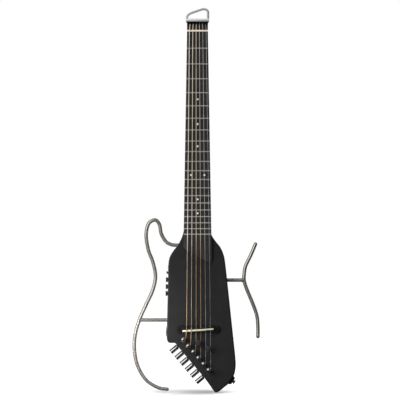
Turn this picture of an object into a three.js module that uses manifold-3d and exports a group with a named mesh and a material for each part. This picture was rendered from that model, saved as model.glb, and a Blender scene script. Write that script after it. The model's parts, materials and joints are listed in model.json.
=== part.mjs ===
// Headless travel guitar: a slim solid body, bent steel frame tubes that plug into its sides,
// a bail at the head, and a slanted row of tuners at the tail. Millimetres. It hangs upright.
// It is laid out flat first: x across the strings, y up the neck from the nut, z out of the face.
import * as THREE from "three";
import { mergeVertices } from "three/addons/utils/BufferGeometryUtils.js";
import Module from "manifold-3d";

const wasm = await Module();
wasm.setup();

// Clearances and cuts
const fit = 0.3;
const runningFit = 0.5;
const overrun = 3;

// Facets
const roundSides = 14;
const smallSides = 10;
const boreSides = 8;
const tubeSides = 10;
const hexSides = 6;
const outlineSteps = 2;
const cornerSteps = 1;
const bevelSteps = 2;
const crownSteps = 2;

// Scale, neck and fingerboard
const scaleLength = 635;
const fretCount = 20;
const notesPerOctave = 12;
const nutWidth = 45;
const octaveWidth = 55.5;
const boardThickness = 5;
const boardRadius = 400;
const tongueLength = 72;
const tongueSlope = THREE.MathUtils.degToRad(30.5);
const tongueCorner = 9;
const fretWidth = 2.2;
const fretCrownWidth = 1;
const fretHeight = 1.1;
const fretInset = 0.4;
const neckDepthAtNut = 15.5;
const neckDepthAtHeel = 17.8;
const heelDepth = 34;
const heelCurve = 52;
const neckFullness = 0.8;
const neckSteps = 10;
const neckSectionSteps = 14;
const tenonHalfWidth = 14;
const tenonLength = 40;
const tenonDepth = 22;
const trussRodRadius = 2.5;
const trussRodDepth = 5.6;
const trussRodEndGap = 9;
const trussNutRadius = 3.6;
const trussNutLength = 9;

// Nut and strings
const nutThickness = 3.7;
const nutRise = 1.7;
const nutStringMargin = 4.6;
const nutStringSpan = nutWidth - 2 * nutStringMargin;
const stringShiftAtNut = 0.65;
const stringNames = ["low_e", "a", "d", "g", "b", "high_e"];
const stringDiameters = [1.35, 1.07, 0.81, 0.61, 0.43, 0.33];
const stringSides = 6;
const saddleStringSpan = 51.2;
const stringShiftAtSaddle = 2.25;

// Head: anchor block, clamp bar and bail
const clampLow = 17.4;
const clampDepth = 4;
const clampHeight = 6;
const clampOverhang = 1.7;
const clampHalfWidth = nutWidth / 2 + clampOverhang;
const clampChamfer = 2.2;
const clampFootInset = 4.4;
const anchorDepth = 6.4;
const anchorOverhang = 2.7;
const anchorHalfWidth = nutWidth / 2 + anchorOverhang;
const anchorFront = 5.6;
const anchorBack = 13;
const anchorNarrowing = 2.8;
const anchorStringSpan = nutStringSpan - anchorNarrowing;
const anchorStringHeight = 1.4;
const ballRadius = 1.9;
const ballLength = 3.4;
const ballPocketRadius = 2.85;
const ballPocketDepth = 4.2;
const bailRadius = 2.5;
const bailInset = 2.6;
const bailHalfSpan = anchorHalfWidth - bailInset;
const bailHeight = 20;
const bailShoulderHeight = 8.9;
const bailShoulderReach = 7.5;
const bailShoulderRun = 11;
const bailPeakReach = 8.5;
const bailPeakDrop = 7.6;
const bailPeakStart = 10;
const bailDepth = 3;
const bailSpigotRadius = 1.5;
const bailSpigotLength = 4.4;
const bailSteps = 22;

// Tuners, laid out along the slanted edge
const tunerCount = stringNames.length;
const tunerFirst = 1.8;
const housingWidth = 14.6;
const housingGap = 2.4;
const tunerPitch = housingWidth + housingGap;
const postInset = 18.5;
const topPlate = 12;
const postShaftRadius = 3;
const postWaistRadius = 3.3;
const postCapRadius = 4.3;
const postFootHeight = 2.4;
const postWaistLow = 4.2;
const postWaistHigh = 9.4;
const postHeight = 11.6;
const postChamfer = 0.6;
const postSlotWidth = 1.5;
const postSlotDepth = 1.8;
const windingLow = 4.8;
const windingGap = 0.5;
const windingTurns = [2, 2, 2, 2, 3, 3];
const windingSteps = 24;
const bushingFlangeRadius = 5.5;
const bushingFlangeHeight = 1.5;
const bushingRadius = 4.4;
const bushingEdge = 0.5;
const housingInner = 8.5;
const housingOuter = 9;
const housingHeight = 15;
const housingCorner = 2.5;
const housingCapRadius = 5.6;
const housingCapHeight = 0.9;
const housingBossRadius = 4.2;
const housingBossLength = 1.6;
const recessMargin = 1.6;
const recessCorner = 4;
const knobAxisOffset = 3;
const knobRadius = 5.3;
const knobShaftRadius = 2.5;
const knobReach = 19.9;
const knobStandoff = 1.2;
const knobCollarRadius = 3.6;
const knobEdge = 0.7;
const shaftDepthInHousing = 6;

// Body
const bridgeDown = 211;
const tailMargin = 36;
const tailLength = tunerCount * tunerPitch + tailMargin;
const bodyTop = scaleLength - bridgeDown;
const bodyLength = bridgeDown + tailLength;
const boardLength = bodyTop + tongueLength;
const bodyWidth = 147;
const bodyThickness = 40;
const bridgeShare = 0.6046;
const edgeRound = 3;
const leftShoulderShares = [
  [-0.1973, 0], [-0.2045, 0.018], [-0.2335, 0.0547], [-0.287, 0.1],
  [-0.347, 0.131], [-0.4, 0.167], [-0.4218, 0.2026], [-0.4252, 0.2395],
];
const leftSideEndShare = [-0.4498, 0.658];
const leftCornerShare = [-0.4512, 0.7011];
const leftCornerEndShare = [-0.394, 0.7011];
const slantLeadShare = [-0.336, 0.7011];
const slantCornerShare = [-0.322, 0.7011];
const slantStartShare = [-0.3082, 0.712];
const slantEndShare = [0.1041, 0.9183];
const tipShares = [[0.1803, 0.9621], [0.2286, 0.9914], [0.2707, 1.0069], [0.3293, 0.9953]];
const buttonFaceLowShare = [0.4524, 0.954];
const buttonFaceHighShare = [0.5279, 0.9067];
const rightFlankShares = [[0.5505, 0.8765], [0.5598, 0.83], [0.551, 0.776], [0.5322, 0.7011]];
const rightSideStartShare = [0.4259, 0.2825];
const rightShoulderShares = [
  [0.3993, 0.1903], [0.3728, 0.147], [0.3306, 0.11], [0.2619, 0.0734],
  [0.2075, 0.0364], [0.1973, 0],
];

// Bridge and saddle
const bridgeShift = 0.5;
const bridgeSetback = 4.4;
const bridgeLength = 92.4;
const bridgeWidth = 16.6;
const bridgeFootHeight = 4;
const bridgeTopHeight = 8.4;
const bridgeRidgeLength = 74;
const bridgeRidgeWidth = 12.6;
const bridgeEdge = 1.2;
const saddleShift = 1.1;
const saddleSetback = 5.9;
const saddleLength = 66.6;
const saddleThickness = 3.4;
const saddleHeight = 10.8;
const saddleSlope = THREE.MathUtils.degToRad(3.87);
const saddleStepRun = 13;
const saddleStepDepth = 0.9;
const piezoThickness = 1.4;
const piezoWidth = 2.6;
const saddleSlotFloor = 2.4;

// String trees
const treeStrings = [[2, 3], [4, 5]];
const treeSetbacks = [28, 39.5];
const treeRadius = 6.4;
const treeStemRadius = 2.2;
const treeFootRadius = 3.4;
const treeFootHeight = 1.4;
const treeRim = 1.1;
const treeDome = 0.8;
const treeStringHeight = 6.6;

// Frame tubes
const tubeRadius = 3.9;
const leftFrameReach = 136;
const leftFrameRise = 19.5;
const leftFrameTop = bodyTop - leftFrameRise;
const leftFrameLift = 5.3;
const leftFrameHeight = leftFrameRise + bodyLength - leftFrameLift;
const leftRunShares = [
  [-0.382, 0.1484], [-0.433, 0.1432], [-0.493, 0.1305], [-0.5725, 0.0821], [-0.6059, 0.0237],
  [-0.669, 0], [-0.7647, 0.018], [-0.8108, 0.0812], [-0.7796, 0.1743], [-0.7036, 0.2525],
  [-0.6644, 0.337], [-0.7097, 0.417], [-0.8075, 0.497], [-0.9191, 0.592], [-0.9868, 0.6817],
  [-0.998, 0.77], [-0.942, 0.8681], [-0.8022, 0.9515], [-0.6081, 0.9943], [-0.4816, 1.002],
];
const leftStrutIndex = 13;
const rightFrameReach = 130;
const rightFrameDrop = 32.4;
const rightFrameTop = bodyTop + rightFrameDrop;
const rightFrameLift = 117.9;
const rightFrameHeight = bodyLength - rightFrameDrop - rightFrameLift;
const rightRunShares = [
  [0.96, 0], [0.8823, 0.1193], [0.7931, 0.2436], [0.7738, 0.32], [0.7705, 0.3895],
  [0.8069, 0.4736], [0.9092, 0.6361], [0.9831, 0.7766], [1, 0.8988], [1, 1],
];
const rightStrutIndex = 4;
const stepsPerPoint = 3;
const frameDepth = bodyThickness / 2;
const sleeveRadius = 5.4;
const sleeveLength = 17;
const spigotEndGap = 1;
const lockScrewRadius = 2;
const lockHeadRadius = 4;
const lockHeadHeight = 3;
const lockHeadSink = 1;
const lockSlotWidth = 1.2;
const lockSlotDepth = 1;

// Side controls, cavity and preamp
const controlDepth = bodyThickness / 2;
const buttonDown = 93.5;
const buttonFromNut = bodyTop + buttonDown;
const controlCount = 3;
const controlsDown = 109;
const controlPitch = 14.75;
const controlsFromNut = Array.from(
  { length: controlCount },
  (_, i) => bodyTop + controlsDown + i * controlPitch,
);
const controlKnobRadius = 5.15;
const controlKnobHeight = 4.3;
const controlKnobEdge = 0.6;
const controlShaftRadius = 3;
const powerButtonRadius = 2.9;
const powerButtonHeight = 2.6;
const powerStemRadius = 1.8;
const powerTravel = 1;
const sideWall = 5;
const cavityMargin = 12.5;
const cavityTop = buttonFromNut - cavityMargin;
const cavityLength = controlsFromNut.at(-1) - cavityTop + cavityMargin;
const cavityWidth = 33;
const cavityCorner = 3;
const coverThickness = 2;
const coverLip = 5;
const boardMargin = 1.5;
const circuitThickness = 1.6;
const potDepth = 6;
const potRadius = 5;
const shaftInPot = 3;
const switchHalfSize = 3.2;
const batteryThickness = 17;
const batteryLength = 48.5;
const batteryDepth = 26;
const batteryRoom = 2;
const cavityFloor = bodyThickness - coverThickness - batteryDepth - batteryRoom;
const batteryDrop = 7;
const batteryFromNut = cavityTop + batteryDrop;
const batteryStudRadius = 2.8;
const batteryStudHeight = 2.4;
const batteryStudInset = 6.5;

// Output jack
const leftStrutFromNut = leftFrameTop + leftRunShares[leftStrutIndex][1] * leftFrameHeight;
const jackFromNut = (leftStrutFromNut - bodyPoint(leftCornerShare).y) / 2;
const jackPlateLength = 20;
const jackPlateWidth = 16;
const jackPlateThickness = 1.3;
const jackBarrelRadius = 5.2;
const jackBarrelLength = 22;
const jackBoreRadius = 3.3;
const jackBackWall = 2;

// Strap button, turned about its own axis: radius and height of each step
const buttonBaseRadius = 10;
const buttonBaseHeight = 2.6;
const buttonConeRadius = 7.2;
const buttonConeHeight = 5.6;
const buttonNeckRadius = 3.1;
const buttonNeckHeight = 7.6;
const buttonRimRadius = 4.6;
const buttonHeight = 9.8;
const buttonScrewRadius = 1.8;
const buttonScrewLength = 20;

// Finishes
const finishes = {
  lacquer: [0x2b2b2c, 0.45, 0],
  ebony: [0x1e1c1d, 0.55, 0],
  bone: [0xe9e2c8, 0.4, 0],
  steel: [0xb9b7b3, 0.3, 1],
  chrome: [0xd4d4d6, 0.12, 1],
  zinc: [0xa9abad, 0.35, 1],
  blackPlastic: [0x151515, 0.5, 0],
  blackMetal: [0x101011, 0.3, 0.8],
  bronze: [0xb98a52, 0.35, 1],
  plainSteel: [0xc6c6c6, 0.2, 1],
  brass: [0xc2a352, 0.35, 1],
  circuit: [0x1d5a37, 0.6, 0],
};

const group = new THREE.Group();

// Joining, cutting and placing

function solidFrom(geometry) {
  const bare = geometry.clone();
  bare.deleteAttribute("normal");
  bare.deleteAttribute("uv");
  const merged = mergeVertices(bare);
  return new wasm.Manifold(
    new wasm.Mesh({
      numProp: 3,
      vertProperties: merged.attributes.position.array,
      triVerts: new Uint32Array(merged.index.array),
    }),
  );
}

function geometryFrom(solid) {
  const mesh = solid.getMesh();
  const geometry = new THREE.BufferGeometry();
  geometry.setAttribute("position", new THREE.BufferAttribute(mesh.vertProperties, 3));
  geometry.setIndex(new THREE.BufferAttribute(mesh.triVerts, 1));
  geometry.computeVertexNormals();
  return geometry;
}

function joined(...geometries) {
  return geometryFrom(wasm.Manifold.union(geometries.map(solidFrom)));
}

function cut(base, ...tools) {
  return geometryFrom(solidFrom(base).subtract(wasm.Manifold.union(tools.map(solidFrom))));
}

function common(first, second) {
  return geometryFrom(solidFrom(first).intersect(solidFrom(second)));
}

function add(name, finish, geometry, parent = group) {
  const [color, roughness, metalness] = finishes[finish];
  const material = new THREE.MeshStandardMaterial({ color, roughness, metalness });
  const mesh = new THREE.Mesh(geometry, material);
  mesh.name = name;
  parent.add(mesh);
  return mesh;
}

// A plate between two heights, its edges rounded where a radius is given.
function plate(shape, low, high, round = 0, steps = outlineSteps) {
  const settings = { depth: high - low - 2 * round, bevelEnabled: round > 0, steps: 1 };
  Object.assign(settings, { bevelThickness: round, bevelSize: round, bevelOffset: -round });
  Object.assign(settings, { bevelSegments: bevelSteps, curveSegments: steps });
  return new THREE.ExtrudeGeometry(shape, settings).translate(0, 0, low + round);
}

function block(xLow, xHigh, yLow, yHigh, zLow, zHigh) {
  const box = new THREE.BoxGeometry(xHigh - xLow, yHigh - yLow, zHigh - zLow);
  return box.translate((xLow + xHigh) / 2, (yLow + yHigh) / 2, (zLow + zHigh) / 2);
}

// A bar across the neck, its profile drawn along y and z, as far out on the left as on the right.
function barAcross(profile, half) {
  const settings = { depth: 2 * half, bevelEnabled: false, curveSegments: outlineSteps };
  const turn = new THREE.Matrix4().makeBasis(
    new THREE.Vector3(0, 1, 0),
    new THREE.Vector3(0, 0, 1),
    new THREE.Vector3(1, 0, 0),
  );
  return new THREE.ExtrudeGeometry(profile, settings).applyMatrix4(turn).translate(-half, 0, 0);
}

// A round bar from one point to another.
function bar(from, to, radius, sides = smallSides) {
  const along = to.clone().sub(from);
  const length = along.length();
  const turn = new THREE.Quaternion().setFromUnitVectors(
    new THREE.Vector3(0, 1, 0),
    along.normalize(),
  );
  const rod = new THREE.CylinderGeometry(radius, radius, length, sides);
  const middle = from.clone().add(to).multiplyScalar(1 / 2);
  return rod.applyQuaternion(turn).translate(middle.x, middle.y, middle.z);
}

// A round hole's shape, its flats no nearer the axis than the radius.
function bore(from, to, radius) {
  return bar(from, to, radius / Math.cos(Math.PI / boreSides), boreSides);
}

// A turned piece about the y axis; the profile runs upwards from the axis back to the axis.
function turned(profile, sides = roundSides) {
  return new THREE.LatheGeometry(profile.map(([r, y]) => new THREE.Vector2(r, y)), sides);
}

function roundedRectangle(xLow, xHigh, yLow, yHigh, corner) {
  const shape = new THREE.Shape();
  shape.moveTo(xLow + corner, yLow);
  shape.lineTo(xHigh - corner, yLow);
  shape.absarc(xHigh - corner, yLow + corner, corner, -Math.PI / 2, 0);
  shape.lineTo(xHigh, yHigh - corner);
  shape.absarc(xHigh - corner, yHigh - corner, corner, 0, Math.PI / 2);
  shape.lineTo(xLow + corner, yHigh);
  shape.absarc(xLow + corner, yHigh - corner, corner, Math.PI / 2, Math.PI);
  shape.lineTo(xLow, yLow + corner);
  shape.absarc(xLow + corner, yLow + corner, corner, Math.PI, (Math.PI * 3) / 2);
  return shape;
}

// A skin over rings of equal count, each counterclockwise about the way it travels.
function loft(rings) {
  const count = rings[0].length;
  const positions = rings.flat().flatMap((point) => point.toArray());
  const faces = [];
  for (let ring = 0; ring + 1 < rings.length; ring++) {
    for (let side = 0; side < count; side++) {
      const next = (side + 1) % count;
      const here = ring * count;
      const there = here + count;
      faces.push(here + side, here + next, there + next);
      faces.push(here + side, there + next, there + side);
    }
  }
  const last = (rings.length - 1) * count;
  for (let side = 1; side + 1 < count; side++) {
    faces.push(0, side + 1, side);
    faces.push(last, last + side, last + side + 1);
  }
  const geometry = new THREE.BufferGeometry();
  geometry.setAttribute("position", new THREE.Float32BufferAttribute(positions, 3));
  geometry.setIndex(faces);
  return geometry;
}

// One unbroken round tube through the points, its rings carried along without twist.
function tubeThrough(points, radius, sides) {
  const ways = points.slice(1).map((point, i) => point.clone().sub(points[i]).normalize());
  let across = new THREE.Vector3(0, 0, 1);
  const rings = points.map((point, i) => {
    const ahead = ways[Math.max(i - 1, 0)].clone().add(ways[Math.min(i, ways.length - 1)]);
    ahead.normalize();
    across = across.clone().addScaledVector(ahead, -across.dot(ahead)).normalize();
    const beside = new THREE.Vector3().crossVectors(ahead, across);
    return Array.from({ length: sides }, (_, side) => {
      const angle = (2 * Math.PI * side) / sides;
      const ring = point.clone().addScaledVector(across, radius * Math.cos(angle));
      return ring.addScaledVector(beside, radius * Math.sin(angle));
    });
  });
  return loft(rings);
}

// Layout shared by the pieces

function halfWidthAt(fromNut) {
  const widening = (octaveWidth - nutWidth) / (scaleLength / 2);
  return (nutWidth + widening * Math.max(fromNut, 0)) / 2;
}

function crownDrop(x) {
  return boardRadius - Math.sqrt(boardRadius ** 2 - x ** 2);
}

function fretFromNut(number) {
  return scaleLength * (1 - 2 ** (-number / notesPerOctave));
}

// A point of the outline: its share down is counted along the part above the scale's end, then
// along the tail.
function bodyPoint([across, down]) {
  const below = (down - bridgeShare) / (1 - bridgeShare);
  const fromScaleEnd = below > 0 ? tailLength * below : bridgeDown * (down / bridgeShare - 1);
  return new THREE.Vector2(across * bodyWidth, -scaleLength - fromScaleEnd);
}

function bodyOutline() {
  const outline = new THREE.Shape();
  const line = (share) => outline.lineTo(...bodyPoint(share).toArray());
  const bend = (corner, end) =>
    outline.quadraticCurveTo(...bodyPoint(corner).toArray(), ...bodyPoint(end).toArray());
  const spline = (shares) => outline.splineThru(shares.map(bodyPoint));
  outline.moveTo(...bodyPoint(leftShoulderShares[0]).toArray());
  spline(leftShoulderShares.slice(1));
  line(leftSideEndShare);
  bend(leftCornerShare, leftCornerEndShare);
  line(slantLeadShare);
  bend(slantCornerShare, slantStartShare);
  line(slantEndShare);
  spline(tipShares);
  line(buttonFaceLowShare);
  line(buttonFaceHighShare);
  spline(rightFlankShares);
  line(rightSideStartShare);
  spline(rightShoulderShares);
  return outline;
}

const outlinePoints = bodyOutline().getPoints(outlineSteps);

// Where the body's side lies at a height, on the left (-1) or on the right (1).
function bodyEdge(y, side) {
  const crossings = outlinePoints.flatMap((a, i) => {
    const b = outlinePoints[(i + 1) % outlinePoints.length];
    if (a.y > y === b.y > y) return [];
    return [a.x + ((b.x - a.x) * (y - a.y)) / (b.y - a.y)];
  });
  return side * Math.max(...crossings.map((x) => side * x));
}

// The slanted edge's own axes: x out of the edge, y down along it, z out of the face.
const slantStart = bodyPoint(slantStartShare);
const slantRun = bodyPoint(slantEndShare).sub(slantStart).normalize();
const slantTurn = Math.atan2(-slantRun.x, slantRun.y);
const slantMatrix = new THREE.Matrix4()
  .makeRotationZ(slantTurn)
  .setPosition(slantStart.x, slantStart.y, 0);
const tunerRow = new THREE.Group();
tunerRow.position.set(slantStart.x, slantStart.y, 0);
tunerRow.rotation.z = slantTurn;
group.add(tunerRow);

function tunerAlong(i) {
  return tunerFirst + i * tunerPitch;
}

function postPlace(i) {
  return new THREE.Vector3(-postInset, tunerAlong(i), 0).applyMatrix4(slantMatrix);
}

function spread(i, span, shift) {
  return shift + span * (i / (tunerCount - 1) - 1 / 2);
}

// Strings

function saddlePlace(x) {
  const tilt = (x - saddleShift) * Math.tan(saddleSlope);
  return -scaleLength - saddleSetback + tilt;
}

function saddleTopAt(x) {
  return saddleHeight - crownDrop(x - saddleShift);
}

function windingRadius(i) {
  return postWaistRadius + fit + stringDiameters[i] / 2;
}

// Where the string coming down from the saddle meets its winding, on the post's right.
function windingStart(i) {
  const x = spread(i, saddleStringSpan, stringShiftAtSaddle);
  const post = postPlace(i);
  const from = new THREE.Vector2(x - post.x, saddlePlace(x) - post.y);
  return from.angle() - Math.acos(windingRadius(i) / from.length());
}

function windingPoints(i) {
  const post = postPlace(i);
  const radius = windingRadius(i);
  const start = windingStart(i);
  const diameter = stringDiameters[i];
  const steps = windingTurns[i] * windingSteps;
  return Array.from({ length: steps + 1 }, (_, step) => {
    const turns = step / windingSteps;
    const angle = start - 2 * Math.PI * turns;
    const rise = (diameter + windingGap) * turns;
    const height = windingLow + diameter / 2 + rise;
    return new THREE.Vector3(
      post.x + radius * Math.cos(angle),
      post.y + radius * Math.sin(angle),
      height,
    );
  });
}

function treeOf(i) {
  return treeStrings.findIndex((pair) => pair.includes(i));
}

function treeY(tree) {
  return -scaleLength - saddleSetback - treeSetbacks[tree];
}

// A string's place across at a height between the saddle and its winding.
function stringXAt(i, y) {
  const x = spread(i, saddleStringSpan, stringShiftAtSaddle);
  const top = saddlePlace(x);
  const [meet] = windingPoints(i);
  return x + ((meet.x - x) * (top - y)) / (top - meet.y);
}

function nutStringHeight(i) {
  const x = spread(i, nutStringSpan, stringShiftAtNut);
  return boardThickness - crownDrop(x) + nutRise + stringDiameters[i] / 2;
}

function ballPlace(i) {
  const x = spread(i, anchorStringSpan, stringShiftAtNut);
  return new THREE.Vector3(x, anchorTop - ballPocketDepth + fit + ballRadius, anchorStringHeight);
}

const anchorLow = clampLow + clampDepth + fit;
const anchorTop = anchorLow + anchorDepth;

function stringPoints(i) {
  const atAnchor = spread(i, anchorStringSpan, stringShiftAtNut);
  const atNut = spread(i, nutStringSpan, stringShiftAtNut);
  const atSaddle = spread(i, saddleStringSpan, stringShiftAtSaddle);
  const saddleY = saddlePlace(atSaddle);
  const overSaddle = saddleTopAt(atSaddle) + fit + stringDiameters[i] / 2;
  const points = [
    ballPlace(i),
    new THREE.Vector3(atAnchor, anchorLow, anchorStringHeight),
    new THREE.Vector3(atAnchor, clampLow, anchorStringHeight),
    new THREE.Vector3(atNut, nutThickness, nutStringHeight(i)),
    new THREE.Vector3(atNut, 0, nutStringHeight(i)),
    new THREE.Vector3(atSaddle, saddleY + saddleThickness / 4, overSaddle),
    new THREE.Vector3(atSaddle, saddleY - saddleThickness / 4, overSaddle),
  ];
  const tree = treeOf(i);
  if (tree >= 0) {
    [treeRadius, -treeRadius].forEach((up) => {
      const y = treeY(tree) + up;
      points.push(new THREE.Vector3(stringXAt(i, y), y, treeStringHeight));
    });
  }
  return points.concat(windingPoints(i));
}

// The least room between neighbouring turns of one winding, measured on its points.
function leastWindingGap(i) {
  const points = windingPoints(i);
  let least = Infinity;
  points.forEach((a, n) => {
    for (let m = n + windingSteps / 2; m < points.length; m++) {
      least = Math.min(least, a.distanceTo(points[m]) - stringDiameters[i]);
    }
  });
  return least;
}

function makeStrings() {
  stringNames.forEach((name, i) => {
    const wire = tubeThrough(stringPoints(i), stringDiameters[i] / 2, stringSides);
    const half = new THREE.Vector3(ballLength / 2, 0, 0);
    const ball = ballPlace(i);
    const barrel = bar(ball.clone().sub(half), ball.clone().add(half), ballRadius, boreSides);
    const finish = i < treeStrings[1][0] ? "bronze" : "plainSteel";
    add("string_" + name, finish, joined(wire, barrel));
  });
}

// Neck and fingerboard

function neckDepthAt(fromNut) {
  const shareDown = Math.max(fromNut, 0) / bodyTop;
  const slim = neckDepthAtNut + (neckDepthAtHeel - neckDepthAtNut) * shareDown;
  const intoHeel = Math.max(fromNut - (bodyTop - heelCurve), 0) / heelCurve;
  const swell = 1 - Math.sqrt(1 - Math.min(intoHeel, 1) ** 2);
  return slim + (heelDepth - slim) * swell;
}

function neckSection(y) {
  const half = halfWidthAt(-y);
  const depth = neckDepthAt(-y);
  return Array.from({ length: neckSectionSteps + 1 }, (_, step) => {
    const angle = (Math.PI * step) / neckSectionSteps;
    const across = Math.sign(Math.cos(angle)) * Math.abs(Math.cos(angle)) ** neckFullness;
    const down = step % neckSectionSteps ? Math.sin(angle) ** neckFullness : 0;
    return new THREE.Vector3(half * across, y, -depth * down);
  });
}

function makeNeck() {
  const low = fit - bodyTop;
  const heelTop = heelCurve - bodyTop;
  const heights = Array.from({ length: neckSteps }, (_, i) => {
    const bend = Math.sin(((Math.PI / 2) * i) / neckSteps);
    return low + (heelTop - low) * bend;
  });
  heights.push(heelTop, 0, clampLow + clampDepth);
  const shaft = loft(heights.map(neckSection));
  const tenon = block(
    -tenonHalfWidth, tenonHalfWidth, -bodyTop - tenonLength, low + overrun, -tenonDepth, 0,
  );
  const slotHalf = trussRodRadius + fit;
  const rodEnd = trussRodEndGap + trussNutLength + fit;
  const slot = block(
    -slotHalf, slotHalf, -bodyTop, -trussRodEndGap, -trussRodDepth - slotHalf, overrun,
  );
  const nutHalf = trussNutRadius + fit;
  const nutWell = block(
    -nutHalf, nutHalf, -rodEnd, fit - trussRodEndGap, -trussRodDepth - nutHalf, overrun,
  );
  add("neck", "lacquer", cut(joined(shaft, tenon), slot, nutWell));
}

function makeTrussRod() {
  const top = new THREE.Vector3(0, -trussRodEndGap, -trussRodDepth);
  const neckEnd = new THREE.Vector3(0, fit - bodyTop, -trussRodDepth);
  const below = top.clone().setY(top.y - trussNutLength);
  const rod = bar(neckEnd, below.clone().setY(below.y + fit), trussRodRadius, smallSides);
  add("truss_rod", "steel", joined(rod, bar(below, top, trussNutRadius, hexSides)));
}

// The crowned bar that the fingerboard and the frets are cut from.
function crownedBar(height, yLow, yHigh) {
  const half = halfWidthAt(boardLength) + overrun;
  const section = new THREE.Shape();
  section.moveTo(-half, -height);
  section.lineTo(half, -height);
  for (let i = 0; i <= 2 * crownSteps; i++) {
    const x = half * (1 - i / crownSteps);
    section.lineTo(x, height - crownDrop(x));
  }
  const length = yHigh - yLow;
  const long = new THREE.ExtrudeGeometry(section, { depth: length, bevelEnabled: false });
  return long.rotateX(Math.PI / 2).translate(0, yHigh, 0);
}

function boardOutline() {
  const low = -boardLength;
  const half = halfWidthAt(boardLength);
  const leftY = low + (2 * half - tongueCorner) * Math.tan(tongueSlope);
  const shape = new THREE.Shape();
  shape.moveTo(-halfWidthAt(0), -fit);
  shape.lineTo(-halfWidthAt(-leftY), leftY);
  shape.lineTo(
    half - tongueCorner * (1 + Math.cos(tongueSlope)),
    low + tongueCorner * Math.sin(tongueSlope),
  );
  shape.quadraticCurveTo(half - tongueCorner, low, half - tongueCorner / 2, low);
  shape.quadraticCurveTo(half, low, half, low + tongueCorner);
  shape.lineTo(halfWidthAt(0), -fit);
  return shape;
}

function fretBar(number) {
  const y = -fretFromNut(number);
  const half = halfWidthAt(-y) - fretInset;
  const profile = new THREE.Shape();
  profile.moveTo(y - fretWidth / 2, boardThickness / 2);
  profile.lineTo(y + fretWidth / 2, boardThickness / 2);
  profile.lineTo(y + fretWidth / 2, boardThickness);
  profile.lineTo(y + fretCrownWidth / 2, boardThickness + fretHeight);
  profile.lineTo(y - fretCrownWidth / 2, boardThickness + fretHeight);
  profile.lineTo(y - fretWidth / 2, boardThickness);
  return barAcross(profile, half);
}

function makeFingerboard() {
  const slab = plate(boardOutline(), fit, boardThickness + overrun);
  const wood = common(slab, crownedBar(boardThickness, -boardLength - overrun, overrun));
  const numbers = Array.from({ length: fretCount }, (_, i) => i + 1);
  const bars = joined(...numbers.map(fretBar));
  const crown = crownedBar(boardThickness + fretHeight, -boardLength, 0);
  add("fingerboard", "ebony", joined(wood, common(bars, crown)));
}

function makeNut() {
  const top = nutRise + stringDiameters[0] / 2;
  const half = halfWidthAt(0);
  const bars = crownedBar(boardThickness + top, 0, nutThickness);
  const ends = block(-half, half, -overrun, nutThickness + overrun, fit, boardThickness + overrun);
  const grooves = stringNames.map((_, i) => {
    const x = spread(i, nutStringSpan, stringShiftAtNut);
    const low = new THREE.Vector3(x, -overrun, nutStringHeight(i));
    const high = low.clone().setY(nutThickness + overrun);
    return bore(low, high, stringDiameters[i] / 2 + fit);
  });
  add("nut", "bone", cut(common(bars, ends), ...grooves));
}

// Head

function makeAnchorBlock() {
  const radius = anchorDepth / 2;
  const side = new THREE.Shape();
  side.moveTo(anchorLow, -anchorBack);
  side.lineTo(anchorTop, -anchorBack);
  side.lineTo(anchorTop, anchorFront - radius);
  side.absarc(anchorLow + radius, anchorFront - radius, radius, 0, Math.PI);
  const blank = barAcross(side, anchorHalfWidth);
  const holes = stringNames.flatMap((_, i) => {
    const ball = ballPlace(i);
    const through = bore(
      ball.clone().setY(anchorLow - overrun), ball, stringDiameters[i] / 2 + fit,
    );
    const floor = ball.clone().setY(anchorTop - ballPocketDepth);
    return [through, bore(floor, ball.clone().setY(anchorTop + overrun), ballPocketRadius)];
  });
  const bailSockets = [-1, 1].map((side) => {
    const mouth = new THREE.Vector3(side * bailHalfSpan, anchorTop + overrun, -bailDepth);
    const floor = mouth.clone().setY(anchorTop - bailSpigotLength - fit);
    return bore(floor, mouth, bailSpigotRadius + fit);
  });
  add("anchor_block", "zinc", cut(blank, ...holes, ...bailSockets));
}

function makeClampBar() {
  const shape = new THREE.Shape();
  const low = clampLow + fit;
  const high = clampLow + clampDepth;
  shape.moveTo(clampChamfer - clampHalfWidth, low);
  shape.lineTo(clampHalfWidth - clampChamfer, low);
  shape.lineTo(clampHalfWidth, high - clampDepth / 3);
  shape.lineTo(clampHalfWidth, high);
  shape.lineTo(-clampHalfWidth, high);
  shape.lineTo(-clampHalfWidth, high - clampDepth / 3);
  const footInner = clampHalfWidth - clampFootInset;
  const roof = anchorStringHeight + stringDiameters[0] / 2 + fit;
  const channel = block(
    -footInner, footInner, clampLow - overrun, high + overrun, -overrun, roof,
  );
  add("clamp_bar", "blackMetal", cut(plate(shape, fit, clampHeight), channel));
}

function bailPath() {
  const at = (x, y) => new THREE.Vector3(x, anchorTop + y, -bailDepth);
  const left = -bailHalfSpan;
  const right = bailHalfSpan;
  const foot = fit;
  const shoulderX = left + bailShoulderRun;
  const path = new THREE.CurvePath();
  const peakSlope = (bailHeight - bailShoulderHeight) / (bailPeakStart - left);
  const onSlope = (x) => bailShoulderHeight + (x - left) * peakSlope;
  const peakX = bailPeakStart;
  path.add(new THREE.LineCurve3(at(left, foot), at(left, bailShoulderHeight - bailShoulderReach)));
  path.add(new THREE.QuadraticBezierCurve3(
    at(left, bailShoulderHeight - bailShoulderReach),
    at(left, bailShoulderHeight),
    at(shoulderX, onSlope(shoulderX)),
  ));
  path.add(new THREE.LineCurve3(at(shoulderX, onSlope(shoulderX)), at(peakX, onSlope(peakX))));
  path.add(new THREE.CubicBezierCurve3(
    at(peakX, onSlope(peakX)),
    at(peakX + bailPeakReach, onSlope(peakX + bailPeakReach / 2)),
    at(right, bailHeight - bailPeakDrop / 3),
    at(right, bailHeight - bailPeakDrop),
  ));
  path.add(new THREE.LineCurve3(at(right, bailHeight - bailPeakDrop), at(right, foot)));
  return path;
}

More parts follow.
